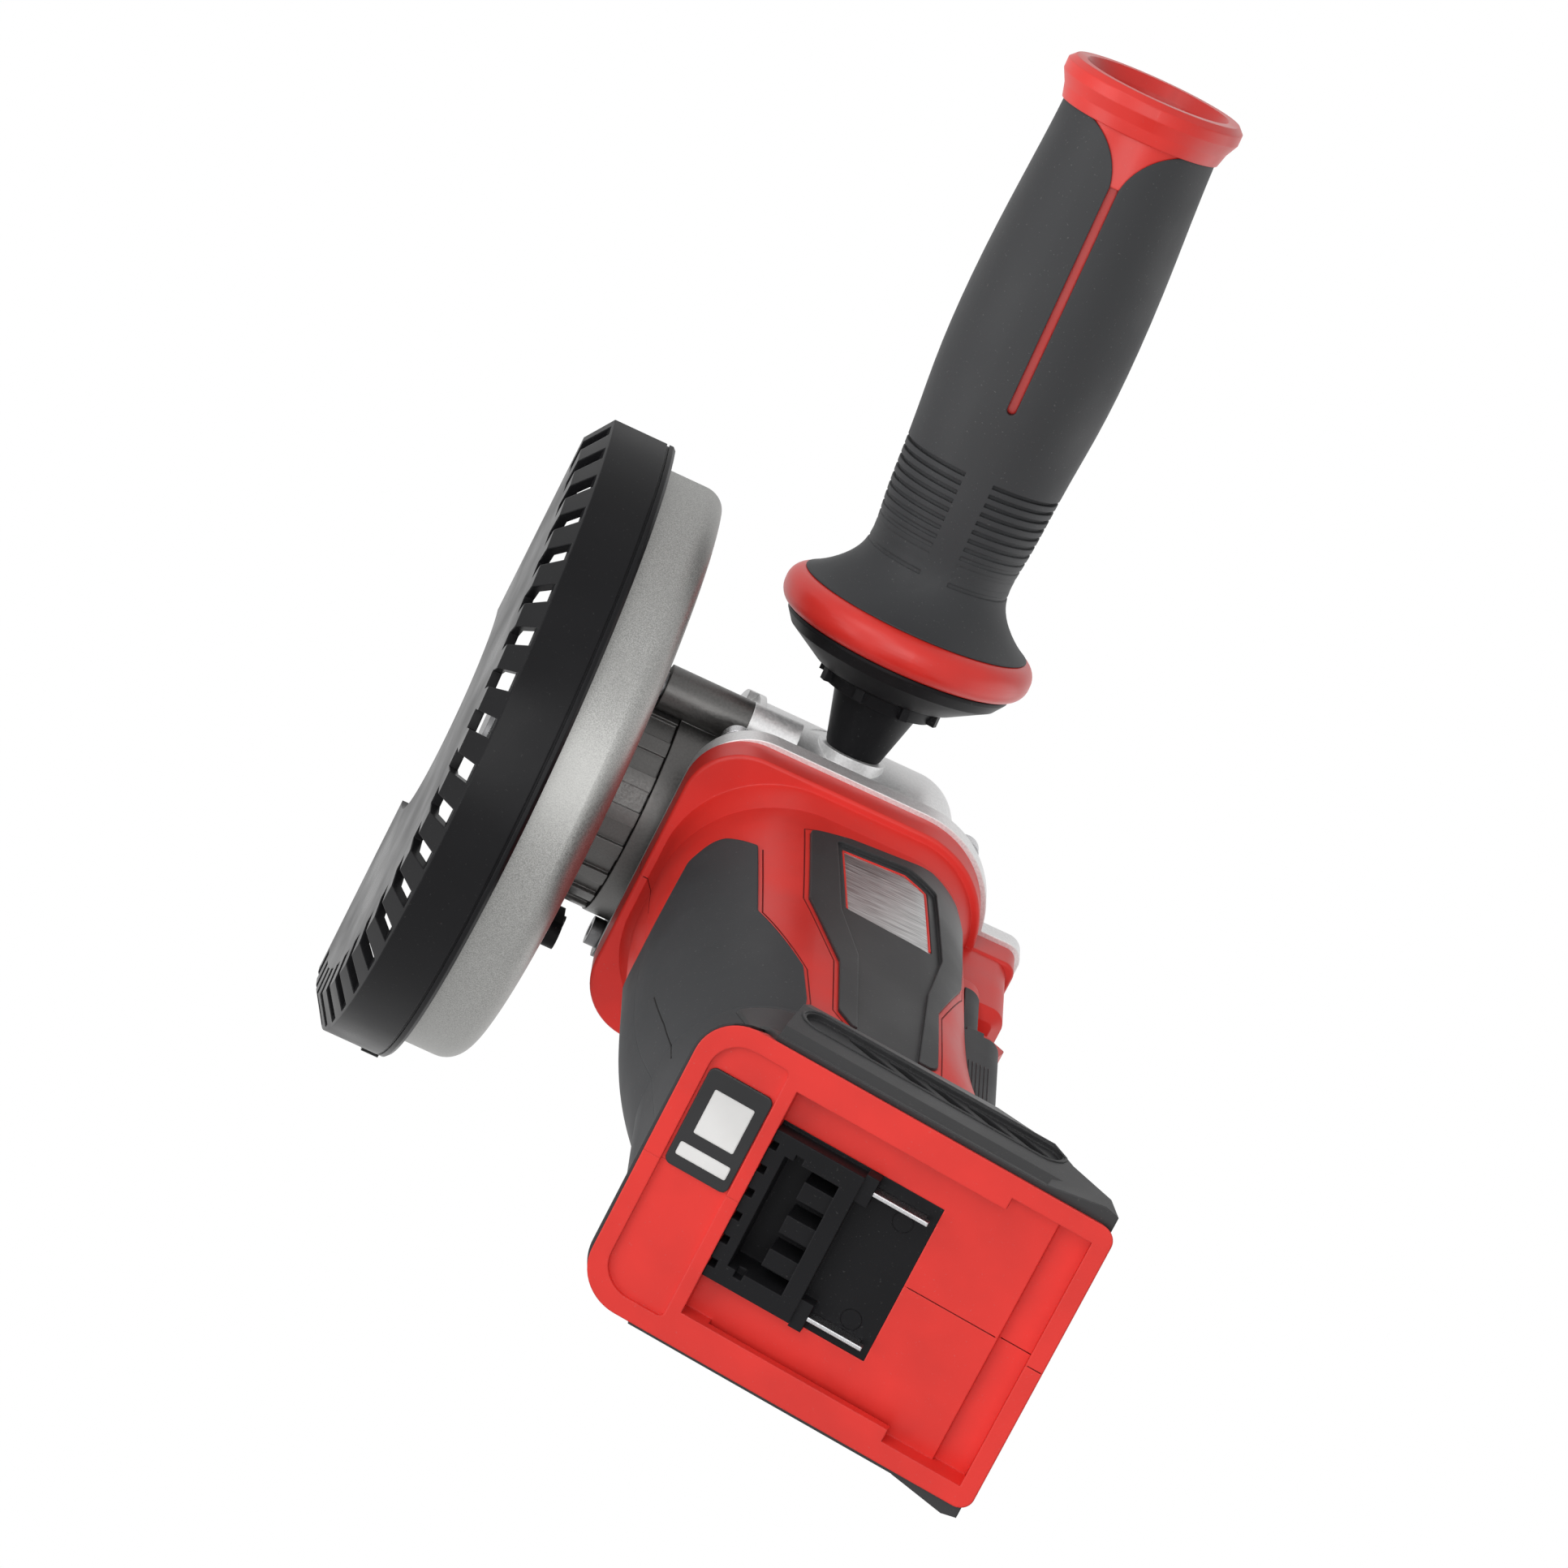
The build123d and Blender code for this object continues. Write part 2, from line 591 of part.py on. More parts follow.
fan = tube((fan_x[0] + 9.0, 0, axis_z), motor_axis, fan_r, shaft_r, 2.0)
fan += tube((fan_x[0], 0, axis_z), motor_axis, 8.0, shaft_r, 10.0)
blade_count = 14
for index in range(blade_count):
    vane = block((fan_x[0], fan_x[0] + 9.5), (-0.8, 0.8), (12.0, fan_r - 0.5))
    vane = Pos(0, 0, axis_z) * (Rot(index * 360 / blade_count, 0, 0) * (Pos(0, 5.0, 0) * vane))
    fan += vane & rod((fan_x[0] - 1, 0, axis_z), motor_axis, fan_r, 20)
save(fan, "cooling_fan")

front_bearing_r = 11.0
save(tube((plate_x, 0, axis_z), motor_axis, front_bearing_r, shaft_r + run_gap, 7.0), "front_motor_bearing")
rear_bearing_w = rear_bearing_x[1] - rear_bearing_x[0]
save(
    tube((rear_bearing_x[0], 0, axis_z), motor_axis, rear_bearing_r, shaft_r + run_gap, rear_bearing_w),
    "rear_motor_bearing",
)

# Bevel gears: straight teeth that taper to the crossing point of the two axes
pinion_r = gear_r * pinion_teeth / gear_teeth
cone_outer = math.hypot(gear_r, pinion_r)
cone_scale = 0.69
module = 2 * gear_r / gear_teeth
tooth_up = 0.82 * module
tooth_down = 1.3 * module
tooth_half = 0.25 * math.pi * module - 0.17


def bevel_teeth(count, pitch_r, pitch_x, flank, phase):
    """Teeth about local +Z with the cone tip at the origin and the large end at z = pitch_x."""
    angle = math.atan2(pitch_r, pitch_x)
    along = Vector(math.sin(angle), 0, math.cos(angle))
    up = Vector(math.cos(angle), 0, -math.sin(angle))
    across = Vector(0, 1, 0)
    slope = math.tan(math.radians(flank))
    teeth = []
    corners = []
    for height, side in ((-tooth_down, -1), (tooth_up, -1), (tooth_up, 1), (-tooth_down, 1)):
        corners.append(up * height + across * (side * (tooth_half - slope * height)))
    faces = []
    for scale in (1.0, cone_scale):
        ring = [(along * cone_outer + corner) * scale for corner in corners]
        faces.append(Face(Wire.make_polygon(ring, close=True)))
    tooth = Part() + loft(faces, ruled=True)
    for index in range(count):
        teeth.append(Rot(0, 0, phase + index * 360 / count) * tooth)
    return teeth


def root_point(pitch_r, pitch_x, scale):
    angle = math.atan2(pitch_r, pitch_x)
    depth = tooth_down - 0.25
    r = (cone_outer * math.sin(angle) - depth * math.cos(angle)) * scale
    z = (cone_outer * math.cos(angle) + depth * math.sin(angle)) * scale
    return r, z


gear_bore = 6.0
big = root_point(gear_r, pinion_r, 1.0)
small = root_point(gear_r, pinion_r, cone_scale)
gear_blank = turned(
    [(gear_bore, 7.5), (13.0, 7.5), small, big, (big[0], 14.0), (13.0, 19.0), (gear_bore, 19.0)]
)
lock_hole_r = 2.4
lock_pin_x = 10.5
for index in range(4):
    spot = Rot(0, 0, index * 90) * Pos(lock_pin_x, 0, 0)
    gear_blank -= spot * rod((0, 0, 7.0), (0, 0, 1), lock_hole_r, 7.0)
drive_gear = gear_blank
for tooth in bevel_teeth(gear_teeth, gear_r, pinion_r, 17.5, 180.0 / gear_teeth):
    drive_gear += tooth
drive_gear = Pos(0, 0, axis_z) * (Rot(180, 0, 0) * drive_gear)
save(drive_gear, "drive_gear")

big = root_point(pinion_r, gear_r, 1.0)
small = root_point(pinion_r, gear_r, cone_scale)
pinion = turned([(0, small[1]), small, big, (big[0], -pinion_back), (0, -pinion_back)])
for tooth in bevel_teeth(pinion_teeth, pinion_r, gear_r, 13.0, 0.0):
    pinion += tooth
pinion -= rod((0, 0, -pinion_back - 7.0), (0, 0, 1), pinion_bore, 10.0)
pinion = Pos(0, 0, axis_z) * (Rot(0, -90, 0) * pinion)
save(pinion, "pinion")

# Spindle and what turns with it
spindle_z0 = -14.0
flange_top = 6.0
bearing_z = (14.0, 24.0)
gear_low = axis_z - 19.0
bush_z = (78.0, 88.0)
bush_in = 4.0
bush_out = 7.0
spindle_collar_r = 8.0
spindle = turned(
    [
        (0, spindle_z0),
        (spindle_r - 1, spindle_z0),
        (spindle_r, spindle_z0 + 1),
        (spindle_r, flange_top),
        (spindle_collar_r, flange_top),
        (spindle_collar_r, bearing_z[0]),
        (gear_bore, bearing_z[0]),
        (gear_bore, axis_z - 5.0),
        (bush_in, axis_z - 3.0),
        (bush_in, bush_z[1] - 1.0),
        (0, bush_z[1] - 1.0),
    ]
)
save(spindle, "spindle")
pilot_r = 11.1
save(
    turned(
        [
            (spindle_r, -1.8), (pilot_r - 0.4, -1.8), (pilot_r, -1.4), (pilot_r, 0), (20.5, 0),
            (21.0, 0.5), (21.0, 3.0), (17.0, flange_top), (spindle_r, flange_top),
        ]
    ),
    "inner_flange",
)
nut_low = -9.0
lock_nut = turned(
    [
        (spindle_r, nut_low), (14.0, nut_low), (21.0, -4.0), (21.0, -0.5), (20.5, 0),
        (pilot_r + 0.3, 0), (pilot_r + 0.3, -2.2), (spindle_r, -2.2),
    ]
)
for index in range(4):
    lock_nut -= Rot(0, 0, 45 + index * 90) * rod((15.0, 0, nut_low - 1), (0, 0, 1), 2.5, 6.0)
save(lock_nut, "lock_nut")
save(tube((0, 0, gear_low - 1.4), (0, 0, 1), 9.0, gear_bore, 1.4), "gear_circlip")

# Gear head castings
rim_low_r = flange_low_r + rim_over
rim_high_r = flange_high_r + rim_over
rim_z = (flange_low + rim_short, flange_high + rim_over)
rim_outline = rounded_section(flange_half + rim_over, *rim_z, rim_low_r, rim_high_r)
hump_rim = RectangleRounded(2 * (hump_half + rim_over), hump_height + 2 * rim_over, 3.0 + rim_over)
rim_outline += Pos(0, hump_top - hump_height / 2) * hump_rim
gear_rim = extrude(cross_plane(plate_x) * rim_outline, rim_t)
gear_rim = fillet(gear_rim.faces().sort_by(Axis.X)[-1].edges(), 1.2)
gear_z0 = 38.0
gear_z1 = 94.0
gear_case_r = 31.0
chamber = rod((0, 0, gear_z0), (0, 0, 1), gear_case_r, gear_z1 - gear_z0)
chamber = fillet(chamber.edges().group_by(Axis.Z)[-1], 12.0)
shoulder_sections = [
    (plate_x + rim_t - 0.1, 35.0, 33.0, 99.5, 16.0, 22.0),
    (-14.0, 29.5, gear_z0, gear_z1 - 1.0, 14.0, 18.0),
    (0.0, 28.5, gear_z0, gear_z1 - 2.0, 13.0, 18.0),
]
shoulder = loft([tube_face(section, 0) for section in shoulder_sections])
gear_housing = gear_rim + chamber + shoulder
rim_band = rod((0, 0, gear_z0), (0, 0, 1), gear_case_r + 1.2, 4.0)
gear_housing += rim_band

lean = math.radians(handle_lean)
drop = math.radians(handle_drop)
handle_dir = Vector(
    math.sin(lean) * math.cos(drop), math.cos(lean) * math.cos(drop), -math.sin(drop)
)
handle_plane = Plane(origin=handle_tip, x_dir=(-1, 0, 0), z_dir=handle_dir)
handle_at = handle_plane.location
socket_depth = 7.8
boss = handle_at * rod((0, 0, -12), (0, 0, 1), 8.2, 12.0)
socket = handle_at * rod((0, 0, -socket_depth), (0, 0, 1), stud_r, socket_depth + 1)
handle_face = handle_at * rod((0, 0, 0), (0, 0, 1), 11.0, 6.0)
gear_housing += boss + mirrored(boss)
gear_chamber = rod((0, 0, gear_z0 - 1), (0, 0, 1), gear_r + 2.2, 37.0)
lock_boss_r = 9.0
lock_top = 100.5
lock_floor = 91.0
lock_pin_r = 2.0
lock_button_r = 6.2
gear_housing += rod((lock_pin_x, 0, gear_z1 - 8), (0, 0, 1), lock_boss_r, lock_top - gear_z1 + 8)
gear_housing -= gear_chamber
gear_housing -= rod((plate_x - 1, 0, axis_z), motor_axis, front_bearing_r, 8.0)
gear_housing -= rod((plate_x + 6, 0, axis_z), motor_axis, 9.4, 20.0)
gear_housing -= rod((0, 0, 70), (0, 0, 1), bush_out, bush_z[1] - 70)
gear_housing -= socket + mirrored(socket)
gear_housing -= rod((lock_pin_x, 0, 70), (0, 0, 1), lock_pin_r + run_gap, 40)
gear_housing -= rod((lock_pin_x, 0, lock_floor), (0, 0, 1), lock_button_r + free_gap, 20)
gear_housing -= corner_holes + corner_wells

# Bearing cap: four ears with screws, of which the rear left one reaches down beside the collar
cap_z = (24.3, gear_z0)
cap_r = 29.6
cap_gap = 0.4
ear_ring_r = 33.2
ear_r = 5.4
ear_low = cap_z[0] + 6.0
long_ear_low = guard_top + 4.5
ear_spots = []
for angle, low in ((-112.0, ear_low), (-22.0, ear_low), (22.0, ear_low), (112.0, long_ear_low)):
    turn = math.radians(angle)
    ear_spots.append((ear_ring_r * math.cos(turn), ear_ring_r * math.sin(turn), low))
cap_screw_r = 1.8
cap_screw_end = gear_z0 + 9.0
cap_head_r = 3.4
cap_head_t = 2.8
for x, y, low in ear_spots:
    gear_housing += rod((x, y, gear_z0), (0, 0, 1), ear_r, 12.0)
for x, y, low in ear_spots:
    gear_housing -= rod((x, y, gear_z0 - 1), (0, 0, 1), cap_screw_r, cap_screw_end + 2.0 - gear_z0)
gear_housing -= gear_chamber
gear_housing -= handle_face + mirrored(handle_face)
gear_housing -= rod((0, 0, 0), (0, 0, 1), cap_r + cap_gap, gear_z0)
for x, y, low in ear_spots:
    gear_housing -= rod((x, y, 0), (0, 0, 1), ear_r + cap_gap, gear_z0)
save(gear_housing, "gear_housing")

bearing_r = 16.0
collar_room = rod((0, 0, 0), (0, 0, 1), collar_out + free_gap, cap_z[0])
head_room = Part()
cap_screws = []
bearing_cap = rod((0, 0, cap_z[0]), (0, 0, 1), cap_r, cap_z[1] - cap_z[0])
for x, y, low in ear_spots:
    bearing_cap += rod((x, y, low), (0, 0, 1), ear_r, cap_z[1] - low) - collar_room
    head_room += rod((x, y, 0), (0, 0, 1), cap_head_r + free_gap, low)
    screw = rod((x, y, low), (0, 0, 1), cap_screw_r, cap_screw_end - low)
    screw += rod((x, y, low - cap_head_t), (0, 0, 1), cap_head_r, cap_head_t)
    screw -= extrude(Plane((x, y, low - cap_head_t), z_dir=(0, 0, 1)) * RegularPolygon(1.8, 6), 1.6)
    cap_screws.append(screw)
bearing_cap += rod((0, 0, guard_top - 3.5), (0, 0, 1), neck_r, cap_z[1] - guard_top)
bearing_cap -= rod((0, 0, 0), (0, 0, 1), spindle_collar_r + cap_gap, 60)
bearing_cap -= rod((0, 0, bearing_z[0]), (0, 0, 1), bearing_r, 30)
bearing_cap -= rod((0, 0, bearing_z[1]), (0, 0, 1), 20.0, 30)
for x, y, low in ear_spots:
    bearing_cap -= rod((x, y, 0), (0, 0, 1), cap_screw_r, 60)
bearing_cap -= head_room
save(bearing_cap, "bearing_cap")
save(Compound(children=cap_screws), "cap_screws")
save(
    tube((0, 0, bearing_z[0]), (0, 0, 1), bearing_r, gear_bore + run_gap, bearing_z[1] - bearing_z[0]),
    "lower_spindle_bearing",
)
upper_spindle_bush = tube((0, 0, bush_z[0]), (0, 0, 1), bush_out, bush_in + run_gap, bush_z[1] - bush_z[0])
save(upper_spindle_bush, "upper_spindle_bush")

# Spindle lock
lock_rest = 8.0
lock_button = rod((lock_pin_x, 0, lock_floor + lock_rest), (0, 0, 1), lock_button_r, 6.0)
lock_button = fillet(lock_button.edges().group_by(Axis.Z)[-1], 1.6)
pin_low = axis_z - 6.3
lock_button += rod((lock_pin_x, 0, pin_low), (0, 0, 1), lock_pin_r, lock_floor + lock_rest - pin_low)
save(lock_button, "lock_button")
wire_r = 0.4
coil_r = 4.0
coil_height = lock_rest - 2 * wire_r
helix = Helix(coil_height / 4, coil_height, coil_r)
spring = sweep(Plane(helix @ 0, z_dir=helix % 0) * Circle(wire_r), helix)
save(Pos(lock_pin_x, 0, lock_floor + wire_r) * spring, "lock_spring")

# Guard, collar, lever and cutting cover
round_r = 6.0
guard_profile = [
    (0, neck_r + run_gap, guard_top - guard_t),
    (0, guard_r - guard_t, guard_top - guard_t),
    (0, guard_r - guard_t, guard_low),
    (0, guard_r, guard_low),
    (0, guard_r, guard_top),
    (0, neck_r + run_gap, guard_top),
]
guard_face = make_face(Polyline(*guard_profile, close=True))
corner_out = guard_face.vertices().filter_by(lambda v: abs(v.Y - guard_r) < 0.01 and v.Z > 0)
guard_face = fillet(corner_out, round_r)
corner_in = guard_face.vertices().filter_by(
    lambda v: abs(v.Y - guard_r + guard_t) < 0.01 and v.Z > 0 and v.Z < guard_top - guard_t + 0.01
)
guard_face = fillet(corner_in, round_r - guard_t)
guard_pan = revolve(guard_face, Axis.Z, 180)
hub_r = 38.0
guard_pan += tube((0, 0, guard_top - guard_t), (0, 0, 1), hub_r, neck_r + run_gap, guard_t)
save(guard_pan, "guard_pan")

guard_collar = tube((0, 0, guard_top), (0, 0, 1), collar_out, neck_r + run_gap, collar_top - guard_top)
for index in range(9):
    notch = block((collar_out - 1.2, collar_out + 4), (-2.6, 2.6), (guard_top + 3.0, collar_top + 1))
    guard_collar -= Rot(0, 0, 110 + index * 17.5) * notch
pivot = (-9.0, -33.4)
lug_low = block((-15, -4), (-37, -27), (guard_top, guard_top + 2.5))
lug_low -= rod((0, 0, 0), (0, 0, 1), neck_r + run_gap, 60)
guard_collar += lug_low
pivot_r = 1.6
guard_collar += rod((pivot[0], pivot[1], guard_top), (0, 0, 1), pivot_r, 9.0)
save(guard_collar, "guard_collar")

lever_z = (guard_top + 2.5 + free_gap, guard_top + 8.0)
lever_length = 9.0
lever_sketch = SlotCenterToCenter(lever_length, 6.6)
lever_middle = Pos(pivot[0] - lever_length / 2, pivot[1], lever_z[0])
lever = extrude(lever_middle * lever_sketch, lever_z[1] - lever_z[0])
lever -= rod((0, 0, 0), (0, 0, 1), collar_out + free_gap, 60)
lever -= rod((pivot[0], pivot[1], 0), (0, 0, 1), pivot_r + run_gap, 60)
save(lever, "guard_lever")

lip_t = 2.2
cover_in = guard_r + 0.3
cover_wall = 2.5
bevel = 4.6
bevel_r = 7.0
cover_profile = [
    (cover_in, cover_lip_z),
    (cover_r - 0.8, cover_lip_z),
    (cover_r, cover_lip_z - 0.8),
    (cover_r, cover_face_z + bevel),
    (cover_r - bevel_r, cover_face_z),
    (26.0, cover_face_z),
    (26.0, cover_face_z + 2.2),
    (cover_r - bevel_r - 1.0, cover_face_z + 2.2),
    (cover_r - cover_wall, cover_face_z + bevel + 1.0),
    (cover_r - cover_wall, cover_lip_z - lip_t),
    (cover_in, cover_lip_z - lip_t),
]
cutting_cover = half_turned(cover_profile)
end_profile = [
    (cover_in, cover_lip_z),
    (cover_r - 0.8, cover_lip_z),
    (cover_r, cover_lip_z - 0.8),
    (cover_r, cover_face_z + bevel),
    (cover_in, cover_face_z + bevel),
]
end_turn = 1.8
end_face = make_face(Polyline(*[(0, r, z) for r, z in end_profile], close=True))
end_wall = revolve(end_face, Axis.Z, end_turn)
cutting_cover += end_wall
cutting_cover += mirrored(end_wall)
slot_half = 2.3
slot_r = (66.0, cover_r - 0.6)
for index in range(cover_slots):
    turn = 90 + (index + 0.5) * 180 / cover_slots
    slot = block(slot_r, (-slot_half, slot_half), (cover_face_z - 1, cover_face_z + bevel - 0.4))
    cutting_cover -= Rot(0, 0, turn) * slot
lug = block((cover_r - 1.5, cover_r + 2.6), (-4.5, 4.5), (cover_lip_z - 4.2, cover_lip_z))
lug = fillet(lug.edges().filter_by(Axis.Z).sort_by(Axis.X)[-2:], 1.2)
cutting_cover += Rot(0, 0, 262) * lug
band_cut = half_turned(
    [
        (cover_r - 0.5, cover_lip_z - 1.8), (cover_r + 1, cover_lip_z - 1.8),
        (cover_r + 1, cover_lip_z - 2.4), (cover_r - 0.5, cover_lip_z - 2.4),
    ]
)
cutting_cover -= band_cut
save(cutting_cover, "cutting_cover")

# Side handle, built along local +Z from its tip and then placed
ring_s = (26.0, 35.5)
ring_r = 30.5
cap_s = 157.0
end_r = 21.5
grip_knots = [
    (27.5, ring_s[1]), (22.0, 39.5), (17.8, 45.5), (17.7, 56.0), (18.9, 73.0), (20.4, 92.0),
    (20.8, 108.0), (20.2, 128.0), (19.0, 148.0), (18.6, cap_s),
]


def grip_solid(inset):
    curve = Spline(*[(r - inset, 0, s) for r, s in grip_knots])
    base = Line((0, 0, ring_s[1]), (grip_knots[0][0] - inset, 0, ring_s[1]))
    top = Line((grip_knots[-1][0] - inset, 0, cap_s), (0, 0, cap_s))
    middle = Line((0, 0, cap_s), (0, 0, ring_s[1]))
    return revolve(make_face([base, curve, top, middle]), Axis.Z, 360)


def front_prism(face):
    """Prism of a (tangent, along) outline on the side of the handle that faces the rear of the tool."""
    plane = Plane(origin=(0, 0, 0), x_dir=(0, 1, 0), z_dir=(1, 0, 0))
    return Rot(0, 0, front_turn) * extrude(plane * face, 40)


tongue_half = 11.0
slit_half = 1.1
slit_s = (90.0, 147.0)
front_turn = -6.0
tongue_right = ThreePointArc((tongue_half, cap_s), (4.6, 152.5), (slit_half, slit_s[1] - 2))
tongue_left = ThreePointArc((-slit_half, slit_s[1] - 2), (-4.6, 152.5), (-tongue_half, cap_s))
tongue_face = make_face(
    [
        tongue_right,
        Line((slit_half, slit_s[1] - 2), (-slit_half, slit_s[1] - 2)),
        tongue_left,
        Line((-tongue_half, cap_s), (tongue_half, cap_s)),
    ]
)
tongue = front_prism(tongue_face)
slit_length = slit_s[1] - slit_s[0]
slit = front_prism(Pos(0, sum(slit_s) / 2) * (Rot(0, 0, 90) * SlotOverall(slit_length + 2, 2 * slit_half)))

grip_outer = grip_solid(0)
core_rod = rod((0, 0, ring_s[0]), (0, 0, 1), handle_core_r, cap_s - ring_s[0])
handle_grip = grip_outer - core_rod - tongue - slit
groove_step = 2.25
groove_count = 12
smooth_half = 3.4
grooves = Part()
for index in range(groove_count):
    s = 47.0 + index * groove_step
    grooves += tube((0, 0, s), (0, 0, 1), 24.0, 17.1 + 0.05 * index, 0.95)
grooves -= Rot(0, 0, front_turn) * block((-60, 60), (-smooth_half, smooth_half), (0, 200))
handle_grip -= grooves
save(handle_at * handle_grip, "handle_grip")

ring_mid = sum(ring_s) / 2
ring_half = (ring_s[1] - ring_s[0]) / 2
ring_disc = rod((0, 0, ring_s[0]), (0, 0, 1), ring_r, ring_s[1] - ring_s[0])
ring_disc = fillet(ring_disc.edges(), ring_half - 0.4)
handle_core = core_rod + ring_disc
tongue_drop = 0.35
slit_drop = 2.4
handle_core += grip_solid(tongue_drop) & tongue
handle_core += grip_solid(slit_drop) & slit
cap = turned(
    [
        (0, cap_s), (19.2, cap_s), (20.0, cap_s + 3.0), (end_r, cap_s + 6.0), (end_r, cap_s + 8.6),
        (end_r - 1.4, handle_length), (0, handle_length),
    ]
)
handle_core += cap
handle_core -= turned(
    [
        (0, handle_length - 30.0), (11.4, handle_length - 30.0), (13.6, handle_length - 14.0),
        (16.0, handle_length - 3.0), (end_r - 4.0, handle_length), (end_r - 4.0, handle_length + 1),
        (0, handle_length + 1),
    ]
)
stud_top = 60.0
handle_core -= rod((0, 0, 0), (0, 0, 1), stud_r, stud_top)
save(handle_at * handle_core, "handle_core")

handle_neck = turned(
    [
        (stud_r, 0), (6.4, 0), (6.8, 0.6), (10.2, 13.0), (13.2, 13.6), (14.2, 16.5), (17.0, 17.4),
        (25.5, 22.6), (27.4, 25.2), (27.4, ring_s[0]), (stud_r, ring_s[0]),
    ]
)
for index in range(8):
    rib = block((10, 15.2), (-1.1, 1.1), (13.9, 18.5))
    handle_neck += Rot(0, 0, 22.5 + index * 45) * rib
save(handle_at * handle_neck, "handle_neck")
save(handle_at * rod((0, 0, -socket_depth), (0, 0, 1), stud_r, stud_top + socket_depth), "handle_stud")
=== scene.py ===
import json
import math

import bmesh
import bpy
from mathutils import Matrix, Vector
from mathutils.bvhtree import BVHTree


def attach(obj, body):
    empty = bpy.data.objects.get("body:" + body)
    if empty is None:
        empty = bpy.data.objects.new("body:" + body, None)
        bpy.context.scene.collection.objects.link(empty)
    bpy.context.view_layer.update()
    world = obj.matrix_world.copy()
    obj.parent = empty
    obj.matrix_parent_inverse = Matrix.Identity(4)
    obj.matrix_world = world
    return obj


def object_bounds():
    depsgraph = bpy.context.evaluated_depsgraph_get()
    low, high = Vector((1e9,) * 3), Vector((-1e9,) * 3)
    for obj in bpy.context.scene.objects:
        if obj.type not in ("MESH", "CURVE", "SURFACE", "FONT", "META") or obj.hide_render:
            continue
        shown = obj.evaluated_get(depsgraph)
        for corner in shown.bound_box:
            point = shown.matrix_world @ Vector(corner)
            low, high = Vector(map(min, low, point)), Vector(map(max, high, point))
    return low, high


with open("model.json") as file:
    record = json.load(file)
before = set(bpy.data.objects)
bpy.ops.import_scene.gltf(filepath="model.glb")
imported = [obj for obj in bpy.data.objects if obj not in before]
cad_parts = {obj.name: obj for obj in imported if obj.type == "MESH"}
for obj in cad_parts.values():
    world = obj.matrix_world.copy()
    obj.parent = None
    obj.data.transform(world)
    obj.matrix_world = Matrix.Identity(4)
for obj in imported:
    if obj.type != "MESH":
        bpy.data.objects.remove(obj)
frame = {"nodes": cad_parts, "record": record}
cad_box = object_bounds()
nodes = frame["nodes"]
mm = 0.001

# Camera fitted to the photograph: 1932 x 1932 frame, metres
camera_place = Vector((-1.900784, 0.726300, -0.192114))
camera_right = Vector((0.044087, 0.430434, 0.901545))
camera_down = Vector((-0.364771, -0.833182, 0.415632))
camera_ahead = Vector((0.930053, -0.347181, 0.120277))
focal_pixels = 11000.0
frame_pixels = 1932.0
sensor_mm = 36.0

# Colours, linear
red = (0.68, 0.030, 0.022)
deep_red = (0.22, 0.008, 0.006)
rubber_black = (0.030, 0.031, 0.033)
plastic_black = (0.009, 0.009, 0.010)
panel_black = (0.022, 0.022, 0.023)
silver_paint = (0.32, 0.32, 0.31)
cast_grey = (0.74, 0.74, 0.74)
dark_grey = (0.115, 0.113, 0.110)
steel_grey = (0.50, 0.50, 0.51)
plate_grey = (0.42, 0.42, 0.42)
pale_print = (0.70, 0.70, 0.69)
crease_shade_black = (0.012, 0.011, 0.011)
dust_grey = (0.30, 0.30, 0.29)
bronze_brown = (0.45, 0.26, 0.09)
copper_brown = (0.55, 0.22, 0.08)
core_grey = (0.22, 0.22, 0.23)
magnet_grey = (0.13, 0.13, 0.14)
resist_green = (0.02, 0.12, 0.05)
floor_pale = (0.86, 0.86, 0.86)

# Sizes of the marks in the materials, millimetres, and how far roughness strays
blotch_mm = 22.0
rub_and_highlight_mm = 3.0
speck_mm = 0.6
stain_mm = 14.0
scuff_and_highlight_mm = 2.0
metal_round_mm = 0.4
plastic_spread = 0.06
metal_spread = 0.07


# Materials

